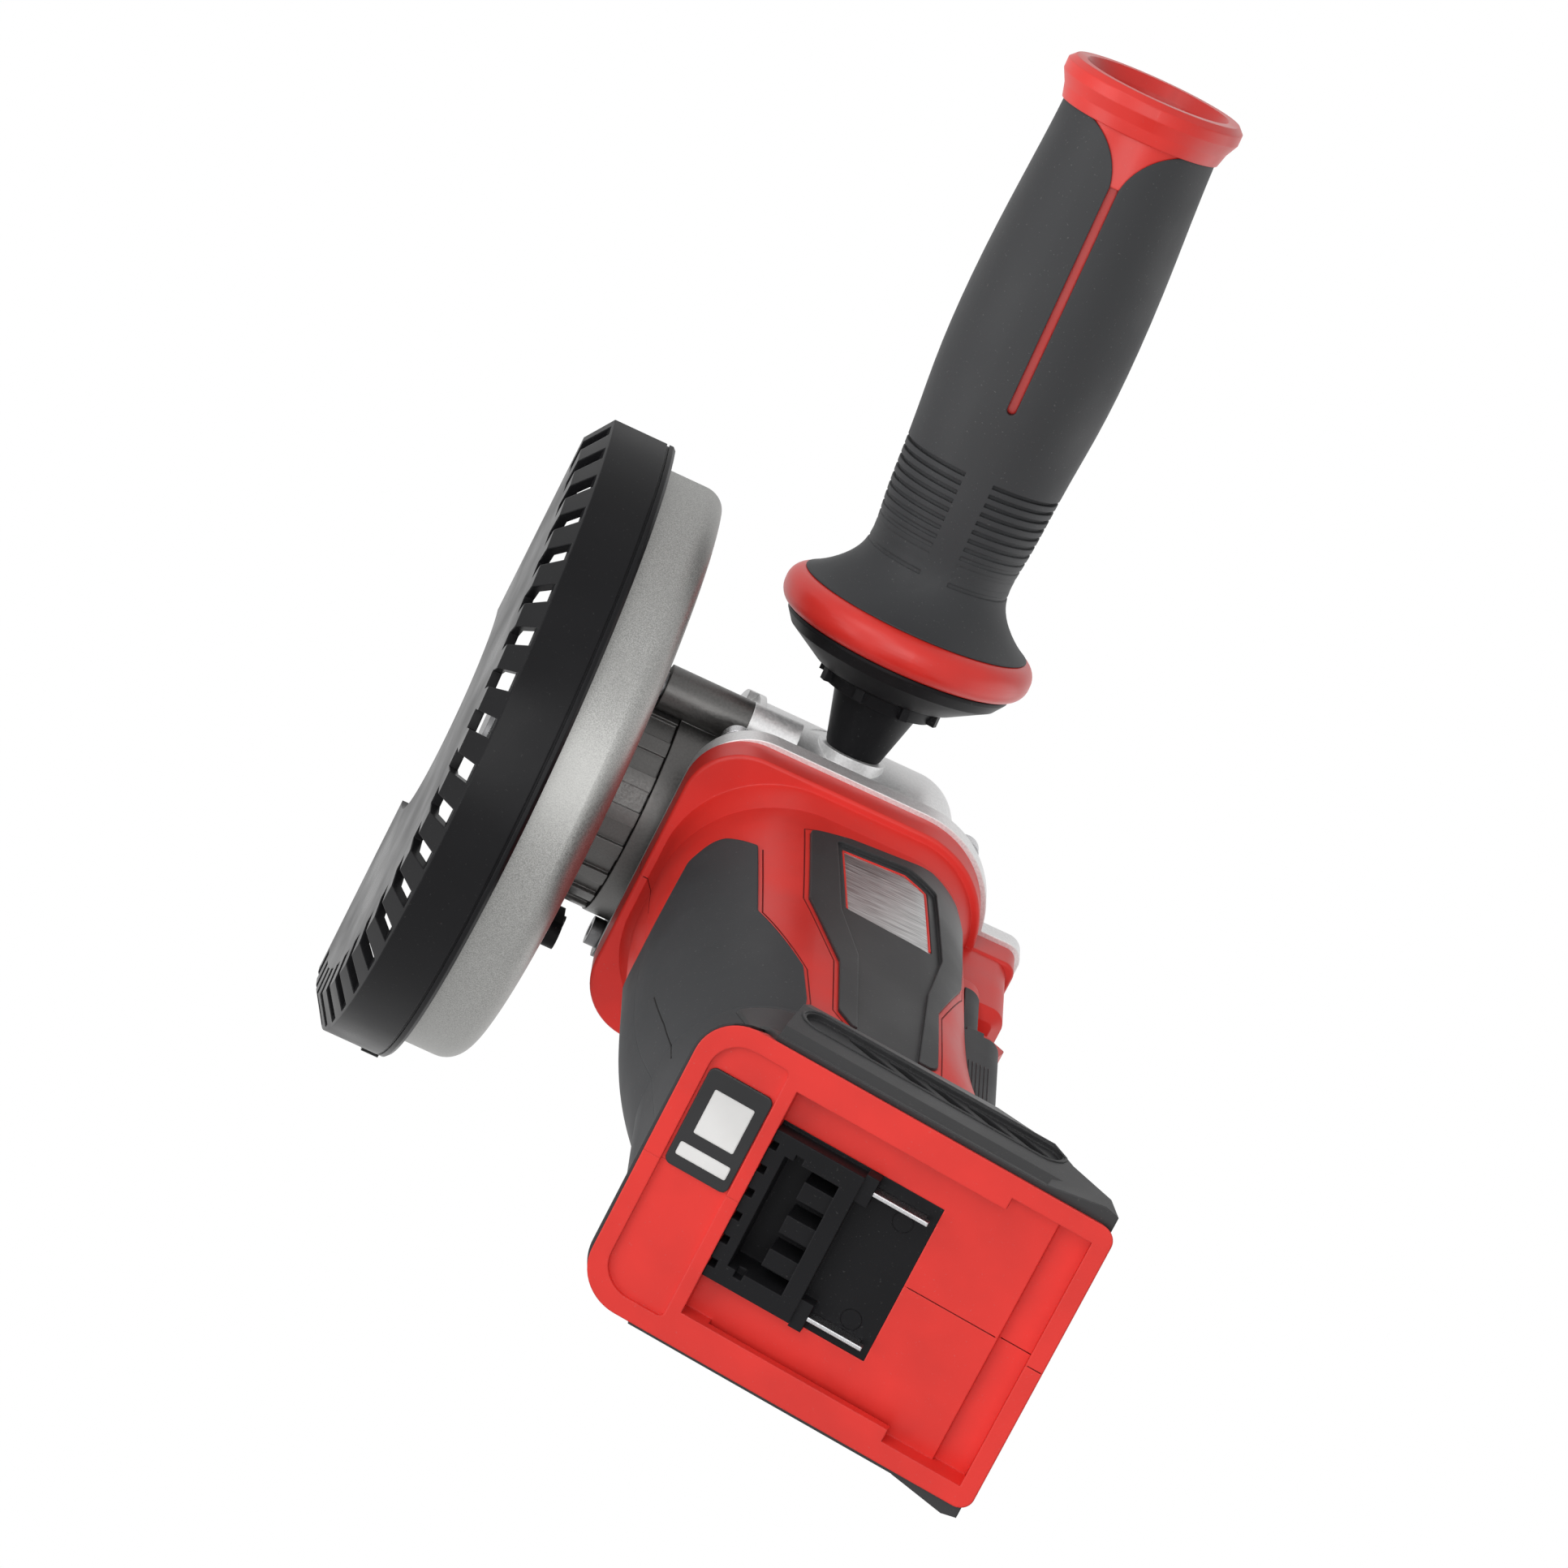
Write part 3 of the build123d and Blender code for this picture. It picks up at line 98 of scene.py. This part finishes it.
class Graph:
    """A material with one Principled shader and a few helpers to wire it."""

    def __init__(self, name):
        self.material = bpy.data.materials.new(name)
        self.material.use_nodes = True
        self.tree = self.material.node_tree
        self.tree.nodes.clear()
        out = self.add("ShaderNodeOutputMaterial")
        self.shader = self.add("ShaderNodeBsdfPrincipled")
        self.join(self.shader.outputs["BSDF"], out.inputs["Surface"])
        self.place = self.add("ShaderNodeTexCoord").outputs["Object"]

    def add(self, kind, **settings):
        node = self.tree.nodes.new(kind)
        for key, value in settings.items():
            setattr(node, key, value)
        return node

    def join(self, start, end):
        self.tree.links.new(start, end)

    def set(self, name, value):
        self.shader.inputs[name].default_value = value

    def noise(self, size_mm, detail=2.0, stretch=(1, 1, 1)):
        """Noise whose blotches are about size_mm across."""
        source = self.place
        if stretch != (1, 1, 1):
            mapping = self.add("ShaderNodeMapping")
            mapping.inputs["Scale"].default_value = stretch
            self.join(self.place, mapping.inputs["Vector"])
            source = mapping.outputs["Vector"]
        node = self.add("ShaderNodeTexNoise")
        node.inputs["Scale"].default_value = 1.0 / (size_mm * mm)
        node.inputs["Detail"].default_value = detail
        self.join(source, node.inputs["Vector"])
        return node.outputs["Fac"]

    def between(self, factor, low, high, start=0.35, end=0.65):
        """Value that runs from low to high as factor goes from start to end."""
        node = self.add("ShaderNodeMapRange")
        node.inputs["From Min"].default_value = start
        node.inputs["From Max"].default_value = end
        node.inputs["To Min"].default_value = low
        node.inputs["To Max"].default_value = high
        self.join(factor, node.inputs["Value"])
        return node.outputs["Result"]

    def times(self, first, second):
        node = self.add("ShaderNodeMath", operation="MULTIPLY")
        self.join(first, node.inputs[0])
        self.join(second, node.inputs[1])
        return node.outputs["Value"]

    def mix(self, factor, first, second):
        """Colour mix: first and second are colours or sockets."""
        node = self.add("ShaderNodeMix", data_type="RGBA")
        self.join(factor, node.inputs["Factor"])
        for value, socket in ((first, node.inputs["A"]), (second, node.inputs["B"])):
            if isinstance(value, tuple):
                socket.default_value = (*value, 1.0)
            else:
                self.join(value, socket)
        return node.outputs["Result"]

    def edges(self, radius_mm):
        """Rounded normal, and a mask that is 1 along edges."""
        bevel = self.add("ShaderNodeBevel", samples=4)
        bevel.inputs["Radius"].default_value = radius_mm * mm
        geometry = self.add("ShaderNodeNewGeometry")
        dot = self.add("ShaderNodeVectorMath", operation="DOT_PRODUCT")
        self.join(bevel.outputs["Normal"], dot.inputs[0])
        self.join(geometry.outputs["Normal"], dot.inputs[1])
        mask = self.between(dot.outputs["Value"], 1.0, 0.0, 0.86, 0.995)
        return bevel.outputs["Normal"], mask

    def bump(self, height, depth_mm, normal=None):
        node = self.add("ShaderNodeBump")
        node.inputs["Distance"].default_value = depth_mm * mm
        self.join(height, node.inputs["Height"])
        if normal is not None:
            self.join(normal, node.inputs["Normal"])
        return node.outputs["Normal"]


def shade(colour, factor):
    return tuple(min(1.0, part * factor) for part in colour)


def moulded(name, colour, rough, grain_mm, grain_depth, gloss=0.5, round_mm=0.5, wear_and_highlight=1.35, dust=0.0):
    """Moulded plastic or rubber: fine grain, soft blotches, paler edges that are partly rubbed wear and
    partly a painted highlight, and a little dust.
    """
    g = Graph(name)
    normal, edge = g.edges(round_mm)
    broad = g.noise(blotch_mm, 3.0)
    base = g.mix(g.between(broad, 0.0, 1.0), shade(colour, 0.92), shade(colour, 1.08))
    # Paler edges: rubbed wear, and also a painted highlight along the edges
    worn_and_highlit = g.times(edge, g.between(g.noise(rub_and_highlight_mm, 4.0), 0.0, 0.6))
    base = g.mix(worn_and_highlit, base, shade(colour, wear_and_highlight))
    if dust > 0:
        specks = g.between(g.noise(speck_mm, 1.0), 0.0, dust, 0.70, 0.78)
        base = g.mix(specks, base, dust_grey)
    g.join(base, g.shader.inputs["Base Color"])
    roughness = g.between(broad, rough - plastic_spread, rough + plastic_spread)
    g.join(roughness, g.shader.inputs["Roughness"])
    g.join(g.bump(g.noise(grain_mm), grain_depth, normal), g.shader.inputs["Normal"])
    g.set("Specular IOR Level", gloss)
    return g.material


def metal(name, colour, rough, grain_mm, grain_depth, sheen=1.0, flake=0.10, stretch=(1, 1, 1), wear_and_highlight=1.4):
    """Cast, painted or brushed metal: flakes or lines in colour, roughness and relief."""
    g = Graph(name)
    normal, edge = g.edges(metal_round_mm)
    grain = g.noise(grain_mm, 3.0, stretch)
    base = g.mix(g.between(grain, 0.0, 1.0), shade(colour, 1 - flake), shade(colour, 1 + flake))
    stain = g.noise(stain_mm, 4.0)
    base = g.mix(g.between(stain, 0.0, 0.35, 0.5, 0.8), base, shade(colour, 0.78))
    # Paler edges: scuffed wear, and also a painted highlight along the edges
    worn_and_highlit = g.times(edge, g.between(g.noise(scuff_and_highlight_mm, 3.0), 0.1, 0.7))
    g.join(g.mix(worn_and_highlit, base, shade(colour, wear_and_highlight)), g.shader.inputs["Base Color"])
    roughness = g.between(grain, rough - metal_spread, rough + metal_spread)
    g.join(roughness, g.shader.inputs["Roughness"])
    g.join(g.bump(grain, grain_depth, normal), g.shader.inputs["Normal"])
    g.set("Metallic", sheen)
    return g.material


red_shell = moulded("red_shell", red, 0.42, 0.35, 0.012, gloss=0.40, dust=0.10)
handle_red = moulded("handle_red", red, 0.36, 0.40, 0.010, gloss=0.45, dust=0.08)
switch_red = moulded("switch_red", red, 0.40, 0.30, 0.012, gloss=0.40)
# Dark red for the groove and seam strips: painted shade in grooves and seams
groove_shade_red = moulded("groove_shade_red", deep_red, 0.55, 0.40, 0.010, gloss=0.2)
soft_black = moulded("soft_black", rubber_black, 0.60, 0.30, 0.016, gloss=0.32, wear_and_highlight=1.6, dust=0.14)
hard_black = moulded("hard_black", plastic_black, 0.42, 0.35, 0.012, gloss=0.10, wear_and_highlight=2.4, dust=0.08)
cover_black = moulded("cover_black", plastic_black, 0.32, 0.35, 0.006, gloss=0.12, wear_and_highlight=2.4, dust=0.05)
panel_plastic = moulded("panel_plastic", panel_black, 0.46, 0.35, 0.014, gloss=0.36, wear_and_highlight=1.8, dust=0.10)
plate_black = moulded("plate_black", plastic_black, 0.34, 0.30, 0.004, gloss=0.4)
blank_print = moulded("blank_print", pale_print, 0.40, 0.50, 0.003, wear_and_highlight=1.05)
# Near-black strip colour for the grip crease: painted shade in the crease
crease_shade_dark = moulded("crease_shade_dark", crease_shade_black, 0.6, 0.3, 0.01, gloss=0.15)
guard_paint = metal("guard_paint", silver_paint, 0.45, 0.26, 0.006, sheen=0.85, flake=0.25, wear_and_highlight=1.25)
cast_alloy = metal("cast_alloy", cast_grey, 0.46, 0.55, 0.020, sheen=0.70, flake=0.08)
dark_cast = metal("dark_cast", dark_grey, 0.40, 0.55, 0.020, sheen=0.85, flake=0.12, wear_and_highlight=1.7)
zinc = metal("zinc", steel_grey, 0.30, 0.5, 0.010, stretch=(1, 1, 5))
dark_steel = metal("dark_steel", shade(steel_grey, 0.3), 0.36, 0.5, 0.010, stretch=(1, 1, 5))
bearing_steel = metal("bearing_steel", steel_grey, 0.22, 0.5, 0.006, stretch=(1, 6, 1))
bronze = metal("bronze", bronze_brown, 0.42, 0.4, 0.010)
lamination = metal("lamination", core_grey, 0.45, 0.5, 0.030, stretch=(8, 0.3, 0.3))
magnet = metal("magnet", magnet_grey, 0.40, 0.4, 0.010)
copper = metal("copper", copper_brown, 0.34, 0.5, 0.020, stretch=(0.3, 6, 6))
board_green = moulded("board_green", resist_green, 0.35, 0.8, 0.020)
lead_sheath = moulded("lead_sheath", deep_red, 0.5, 0.3, 0.010)
plate_alloy = metal(
    "plate_alloy", plate_grey, 0.36, 0.35, 0.012, sheen=0.85, flake=0.35, stretch=(1, 1, 0.05),
)

finishes = {
    "red_plastic": red_shell,
    "handle_red": handle_red,
    "black_rubber": soft_black,
    "black_plastic": hard_black,
    "switch_red": switch_red,
    "cast_alloy": cast_alloy,
    "dark_cast": dark_cast,
    "plate_alloy": plate_alloy,
    "guard_steel": guard_paint,
    "zinc_steel": zinc,
    "dark_steel": dark_steel,
    "bearing_steel": bearing_steel,
    "bronze": bronze,
    "lamination": lamination,
    "magnet": magnet,
    "copper": copper,
    "board": board_green,
    "lead_sheath": lead_sheath,
}


def paint(thing, material):
    thing.data.materials.clear()
    thing.data.materials.append(material)


for entry in frame["record"]["subparts"]:
    paint(nodes[entry["node"]], finishes[entry["material_slot"]])
paint(nodes["foot_plate"], plate_black)
# The guard collar takes the darker cast finish: painted shade for the guard's shadow over it
paint(nodes["guard_collar"], dark_cast)
paint(nodes["cutting_cover"], cover_black)
for side_name in ("left", "right"):
    paint(nodes["side_panel_" + side_name], panel_plastic)
    paint(nodes["foot_band_" + side_name], panel_plastic)


# Detail pieces that lie on the surfaces of the CAD nodes; lengths are millimetres until they meet a surface

def surface(*names):
    """Search tree over the faces of these CAD nodes."""
    corners = []
    faces = []
    for name in names:
        mesh = nodes[name].data
        first = len(corners)
        corners += [vertex.co.copy() for vertex in mesh.vertices]
        faces += [[first + index for index in polygon.vertices] for polygon in mesh.polygons]
    return BVHTree.FromPolygons(corners, faces)


def along(points, closed=False, step=1.2):
    """Points every step along the straight runs between the given points."""
    ends = points[1:] + points[:1] if closed else points[1:]
    path = []
    for start, end in zip(points, ends):
        first = Vector(start)
        last = Vector(end)
        count = max(1, round((last - first).length / step))
        path += [first.lerp(last, index / count) for index in range(count)]
    if not closed:
        path.append(Vector(points[-1]))
    return path


def grown(outline, distance):
    """Closed outline moved outwards by distance; the outline runs clockwise in (X, Z)."""
    moved = []
    count = len(outline)
    for index in range(count):
        here = Vector(outline[index])
        back = (here - Vector(outline[index - 1])).normalized()
        ahead = (Vector(outline[(index + 1) % count]) - here).normalized()
        out = (Vector((-back.y, back.x)) + Vector((-ahead.y, ahead.x))).normalized()
        stretch = max(0.5, out.dot(Vector((-ahead.y, ahead.x))))
        moved.append(tuple(here + out * (distance / stretch)))
    return moved


def cast(tree, start, direction):
    """Surface point and normal met from a start in millimetres, or None."""
    spot, normal, _, _ = tree.ray_cast(Vector(start) * mm, Vector(direction))
    return None if spot is None else (spot, normal)


# Where the search rays start, millimetres: clear of the part on each side
beside = 90
above = 150
behind_foot = 20
over_foot = 60


def side_path(tree, outline, side, closed=False):
    """Surface points under an (X, Z) outline, seen from the left (side 1) or the right (side -1)."""
    hits = [cast(tree, (spot.x, side * beside, spot.y), (0, -side, 0)) for spot in along(outline, closed)]
    return [hit for hit in hits if hit is not None]


def piece(name, mesh, material, body="body", smooth=True):
    """Object from a bmesh, with its finish and the CAD body that carries it."""
    bmesh.ops.recalc_face_normals(mesh, faces=mesh.faces)
    data = bpy.data.meshes.new(name)
    mesh.to_mesh(data)
    mesh.free()
    for polygon in data.polygons:
        polygon.use_smooth = smooth
    data.materials.append(material)
    thing = bpy.data.objects.new(name, data)
    bpy.context.scene.collection.objects.link(thing)
    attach(thing, body)
    return thing


bead_sink = 0.06


def bead(name, path, width, height, material, closed=False, body="body"):
    """Rounded strip along surface points; its feet sink a little into the surface."""
    half = width * mm / 2
    sink = -bead_sink * mm
    rise = height * mm
    section = [(-1.0, sink), (-0.7, rise * 0.7), (0.0, rise), (0.7, rise * 0.7), (1.0, sink)]
    mesh = bmesh.new()
    rings = []
    count = len(path)
    for index, (spot, normal) in enumerate(path):
        before = path[index - 1][0] if closed or index > 0 else spot
        after = path[(index + 1) % count][0] if closed or index < count - 1 else spot
        across = (after - before).cross(normal).normalized()
        ring = [spot + across * (half * share) + normal * lift for share, lift in section]
        rings.append([mesh.verts.new(corner) for corner in ring])
    pairs = list(zip(rings, rings[1:]))
    if closed:
        pairs.append((rings[-1], rings[0]))
    else:
        mesh.faces.new(rings[0])
        mesh.faces.new(rings[-1])
    for first, second in pairs:
        for index in range(len(section)):
            following = (index + 1) % len(section)
            mesh.faces.new((first[index], first[following], second[following], second[index]))
    return piece(name, mesh, material, body)


# Outlines on the left side, (X, Z); the right side mirrors them
panel_outline = [
    (-64, 55.5), (-98, 57.5), (-121, 66.5), (-143, 68), (-147.5, 71.5), (-151, 92), (-124, 90.5), (-99, 96.5),
    (-66, 96), (-59.5, 93), (-57, 85), (-60, 65),
]
plate_outline = [(-65.3, 63.4), (-93.6, 66.3), (-97, 87.5), (-68, 84.6), (-63.4, 79)]
grip_edge = [(-77, 46.3), (-108.6, 48.4), (-130.5, 59.7), (-145, 61.7), (-155, 61.7)]
groove_gap = 1.2
groove_width = 0.45
groove_height = 0.03
plate_border = 0.7
border_height = 0.28


def make_side_lines():
    """Dark strips painted as the shade of grooves round the side panel and above the lower grip, and the red
    border of the plate window.
    """
    for side_name, side in (("left", 1), ("right", -1)):
        shell = surface("motor_housing_" + side_name)
        window = surface("side_plate_" + side_name)
        groove = side_path(shell, grown(panel_outline, groove_gap), side, True)
        name = "panel_groove_shade_" + side_name
        bead(name, groove, groove_width, groove_height, groove_shade_red, True)
        groove = side_path(shell, grip_edge, side)
        bead("grip_groove_shade_" + side_name, groove, groove_width, groove_height, groove_shade_red)
        inner = grown(plate_outline, -plate_border / 2)
        border = side_path(window, [inner[1], inner[0], inner[4], inner[3], inner[2]], side)
        bead("plate_border_" + side_name, border, plate_border, border_height, red_shell)


hatch_rows = 7
hatch_pitch = 0.95
hatch_low = 100.6
hatch_x = (-146.0, -122.0)
hatch_width = 0.5
hatch_height = 0.22


def make_hatch():
    """Fine ribs on each flank of the top grip."""
    for side_name, side in (("left", 1), ("right", -1)):
        grip = surface("top_grip_" + side_name)
        for row in range(hatch_rows):
            z = hatch_low + row * hatch_pitch
            ridge = side_path(grip, [(hatch_x[0], z), (hatch_x[1], z)], side)
            name = "hatch_" + side_name + "_" + str(row + 1)
            bead(name, ridge, hatch_width, hatch_height, soft_black)


# Crease on the lower grip, just left of the middle, as points near its surface; it is drawn as a dark strip
# of painted shade
crease_points = [
    (-129.8, 8.1, 33.1), (-136, 8.6, 34.1), (-143.8, 9.1, 35.9), (-152.6, 8.6, 38.4), (-159, 8.8, 39.0),
]
crease_width = 0.5


def make_crease():
    grip = surface("lower_grip_left")
    path = []
    for spot in along(crease_points):
        near, normal, _, _ = grip.find_nearest(spot * mm)
        path.append((near, normal))
    bead("grip_crease", path, crease_width, groove_height, crease_shade_dark)


# Foot coordinates: v across, u along the face, d inwards from the rim
foot_tilt = math.radians(13.0)
foot_origin = Vector((-200.0, 0.0, 85.0))
foot_u = Vector((-math.sin(foot_tilt), 0, math.cos(foot_tilt)))
foot_in = Vector((math.cos(foot_tilt), 0, math.sin(foot_tilt)))
foot_v = Vector((0, 1, 0))


def foot_point(v, u, d):
    return foot_origin + foot_v * v + foot_u * u + foot_in * d


def foot_hit(tree, v, u):
    return cast(tree, foot_point(v, u, -behind_foot), foot_in)


# Raised lip round the vent recess of each foot band, in foot coordinates
vent_u = (-32.0, 29.5)
vent_d = (13.6, 21.4)
lip_gap = 0.8
lip_width = 0.8
lip_height = 0.30


def vent_lip():
    """Long round-ended (u, d) outline just outside the recess."""
    end_r = (vent_d[1] - vent_d[0]) / 2
    points = []
    for u, start in ((vent_u[1] - end_r, -90), (vent_u[0] + end_r, 90)):
        for step in range(9):
            turn = math.radians(start + step * 22.5)
            reach = end_r + lip_gap
            points.append((u + reach * math.cos(turn), sum(vent_d) / 2 + reach * math.sin(turn)))
    return points


def make_vent_lips():
    for side_name, side in (("left", 1), ("right", -1)):
        band = surface("foot_band_" + side_name)
        path = []
        for spot in along(vent_lip(), True):
            path.append(cast(band, foot_point(side * beside, spot.x, spot.y), (0, -side, 0)))
        path = [hit for hit in path if hit is not None]
        bead("vent_lip_" + side_name, path, lip_width, lip_height, panel_plastic, True)


# Split line of the shells, drawn as a dark strip of painted shade: runs along the foot's face (u), and runs
# under and over the housing
off_middle = 0.05
split_width = 0.35
split_height = 0.02
face_runs = {"tray": (14.2, 35.4), "trench": (36.4, 43.6), "rim": (44.4, 47.6)}
flange_x = (-38.6, -46.0)
flange_rear_z = (28.9, 31.1)
behind_flange_x = -64.0
bell_x = (-55.0, -66.0)
top_x = (-39.0, -76.0)


def run(start, end, step=1.2):
    """Values every step from start to end."""
    return [spot.x for spot in along([(start, 0), (end, 0)], step=step)]


def make_split_line():
    """Where the two shells meet, as dark strips of painted shade: across the tray, and under and over the
    housing.
    """
    shells = surface("motor_housing_left", "motor_housing_right")
    for name, (start, end) in face_runs.items():
        path = [foot_hit(shells, off_middle, u) for u in run(start, end)]
        bead("split_line_" + name, path, split_width, split_height, groove_shade_red)
    under = [cast(shells, (x, off_middle, 0), (0, 0, 1)) for x in run(*flange_x)]
    for z in run(*flange_rear_z, step=0.4):
        under.append(cast(shells, (behind_flange_x, off_middle, z), (1, 0, 0)))
    under += [cast(shells, (x, off_middle, 0), (0, 0, 1)) for x in run(*bell_x)]
    bead("split_line_under", under, split_width, split_height, groove_shade_red)
    over = [cast(shells, (x, off_middle, above), (0, 0, -1)) for x in run(*top_x, step=0.8)]
    bead("split_line_over", over, split_width, split_height, groove_shade_red)


# Bead over the inner edge of the rim on the foot's top, between two depths
top_bead_d = (5.7, 6.8)
top_bead_half = 31.9
top_bead_width = 1.3
top_bead_height = 0.12


def make_top_beads():
    for side_name, side in (("left", 1), ("right", -1)):
        shell = surface("motor_housing_" + side_name)
        path = []
        for v in run(0.1, top_bead_half):
            outer, inner = [cast(shell, foot_point(side * v, over_foot, d), -foot_u) for d in top_bead_d]
            path.append(((outer[0] + inner[0]) / 2, outer[1]))
        bead("top_bead_" + side_name, path, top_bead_width, top_bead_height, red_shell)


ejector_spots = [(12.4, 7.0), (-12.6, 7.0)]
ejector_r = 2.3
ring_width = 0.3
ring_height = 0.08
ring_steps = 32


def make_ejector_rings():
    """Round marks that the mould's pins leave on the terminal plate."""
    base = surface("terminal_block")
    for number, (v, u) in enumerate(ejector_spots):
        path = []
        for index in range(ring_steps):
            turn = 2 * math.pi * index / ring_steps
            path.append(foot_hit(base, v + ejector_r * math.cos(turn), u + ejector_r * math.sin(turn)))
        name = "ejector_ring_" + str(number + 1)
        bead(name, path, ring_width, ring_height, hard_black, True)


# Blank printed fields on the foot plate: v, u, width, height, corner
blank_fields = [(14.2, -35.6, 11.0, 9.5, 0.4), (4.2, -35.8, 3.2, 12.0, 0.5)]
print_t = 0.03


def make_blank_fields():
    plate = surface("foot_plate")
    for number, (v, u, width, height, corner) in enumerate(blank_fields):
        spot, _ = foot_hit(plate, v, u)
        face = []
        for x_sign, y_sign, start in ((1, 1, 0), (-1, 1, 90), (-1, -1, 180), (1, -1, 270)):
            for step in range(5):
                turn = math.radians(start + step * 22.5)
                x = x_sign * (width / 2 - corner) + corner * math.cos(turn)
                y = y_sign * (height / 2 - corner) + corner * math.sin(turn)
                face.append(spot + (foot_v * x + foot_u * y) * mm)
        mesh = bmesh.new()
        low = [mesh.verts.new(point + foot_in * (print_t * mm)) for point in face]
        high = [mesh.verts.new(point - foot_in * (print_t * mm)) for point in face]
        mesh.faces.new(high)
        mesh.faces.new(low)
        for index in range(len(face)):
            following = (index + 1) % len(face)
            mesh.faces.new((low[index], low[following], high[following], high[index]))
        piece("blank_field_" + str(number + 1), mesh, blank_print, smooth=False)


make_side_lines()
make_hatch()
make_crease()
make_vent_lips()
make_split_line()
make_top_beads()
make_ejector_rings()
make_blank_fields()


# Stage: a pale floor under the guard, see-through from below, where the camera stands, and in reflections
floor_size = 8.0
floor_gap = 0.0005


def wire(tree, *pairs):
    for start, end in pairs:
        tree.links.new(start, end)


def make_stage():
    bpy.ops.mesh.primitive_plane_add(size=floor_size, location=(0, 0, cad_box[0].z - floor_gap))
    floor = bpy.context.object
    floor.name = "floor"
    material = bpy.data.materials.new("floor_pale")
    material.use_nodes = True
    tree = material.node_tree
    tree.nodes.clear()
    out = tree.nodes.new("ShaderNodeOutputMaterial")
    solid = tree.nodes.new("ShaderNodeBsdfDiffuse")
    solid.inputs["Color"].default_value = (*floor_pale, 1.0)
    clear = tree.nodes.new("ShaderNodeBsdfTransparent")
    geometry = tree.nodes.new("ShaderNodeNewGeometry")
    path = tree.nodes.new("ShaderNodeLightPath")
    passing = tree.nodes.new("ShaderNodeMath")
    passing.operation = "MAXIMUM"
    either = tree.nodes.new("ShaderNodeMath")
    either.operation = "MAXIMUM"
    blend = tree.nodes.new("ShaderNodeMixShader")
    wire(
        tree,
        (path.outputs["Is Shadow Ray"], passing.inputs[0]),
        (path.outputs["Is Glossy Ray"], passing.inputs[1]),
        (geometry.outputs["Backfacing"], either.inputs[0]),
        (passing.outputs["Value"], either.inputs[1]),
        (either.outputs["Value"], blend.inputs["Fac"]),
        (solid.outputs["BSDF"], blend.inputs[1]),
        (clear.outputs["BSDF"], blend.inputs[2]),
        (blend.outputs["Shader"], out.inputs["Surface"]),
    )
    floor.data.materials.append(material)


ambient = 0.34


def make_world():
    """White to the camera and in reflections, soft grey as light."""
    world = bpy.data.worlds.new("studio")
    bpy.context.scene.world = world
    world.use_nodes = True
    tree = world.node_tree
    tree.nodes.clear()
    out = tree.nodes.new("ShaderNodeOutputWorld")
    white = tree.nodes.new("ShaderNodeBackground")
    white.inputs["Color"].default_value = (1, 1, 1, 1)
    white.inputs["Strength"].default_value = 1.0
    soft = tree.nodes.new("ShaderNodeBackground")
    soft.inputs["Color"].default_value = (1, 1, 1, 1)
    soft.inputs["Strength"].default_value = ambient
    path = tree.nodes.new("ShaderNodeLightPath")
    seen = tree.nodes.new("ShaderNodeMath")
    seen.operation = "MAXIMUM"
    shown = tree.nodes.new("ShaderNodeMath")
    shown.operation = "MAXIMUM"
    blend = tree.nodes.new("ShaderNodeMixShader")
    wire(
        tree,
        (path.outputs["Is Camera Ray"], seen.inputs[0]),
        (path.outputs["Is Glossy Ray"], seen.inputs[1]),
        (seen.outputs["Value"], shown.inputs[0]),
        (path.outputs["Is Transmission Ray"], shown.inputs[1]),
        (shown.outputs["Value"], blend.inputs["Fac"]),
        (soft.outputs["Background"], blend.inputs[1]),
        (white.outputs["Background"], blend.inputs[2]),
        (blend.outputs["Shader"], out.inputs["Surface"]),
    )


centre = (cad_box[0] + cad_box[1]) / 2


def area_lamp(name, offset, watts, size):
    lamp = bpy.data.lights.new(name, "AREA")
    lamp.energy = watts
    lamp.size = size
    thing = bpy.data.objects.new(name, lamp)
    thing.location = centre + offset
    thing.rotation_mode = "QUATERNION"
    thing.rotation_quaternion = (-offset).to_track_quat("-Z", "Y")
    bpy.context.scene.collection.objects.link(thing)


def make_lights():
    back = -camera_ahead
    up = -camera_down
    area_lamp("key", back * 1.2 + up * 0.9 - camera_right * 0.4, 8.0, 0.9)
    area_lamp("left", back * 0.6 - camera_right * 1.4 + up * 0.1, 9.0, 1.0)
    area_lamp("front", back * 1.5 - camera_right * 0.1 - up * 0.1, 9.5, 1.0)
    area_lamp("overhead", Vector((0.2, -0.4, 1.5)), 6.0, 1.4)


def make_camera():
    data = bpy.data.cameras.new("photo_camera")
    data.sensor_width = sensor_mm
    data.sensor_fit = "HORIZONTAL"
    data.lens = focal_pixels / frame_pixels * sensor_mm
    thing = bpy.data.objects.new("photo_camera", data)
    turn = Matrix((camera_right, -camera_down, -camera_ahead)).transposed()
    thing.matrix_world = Matrix.Translation(camera_place) @ turn.to_4x4()
    bpy.context.scene.collection.objects.link(thing)
    bpy.context.scene.camera = thing


make_stage()
make_world()
make_lights()
make_camera()
bpy.context.scene.view_settings.view_transform = "Standard"
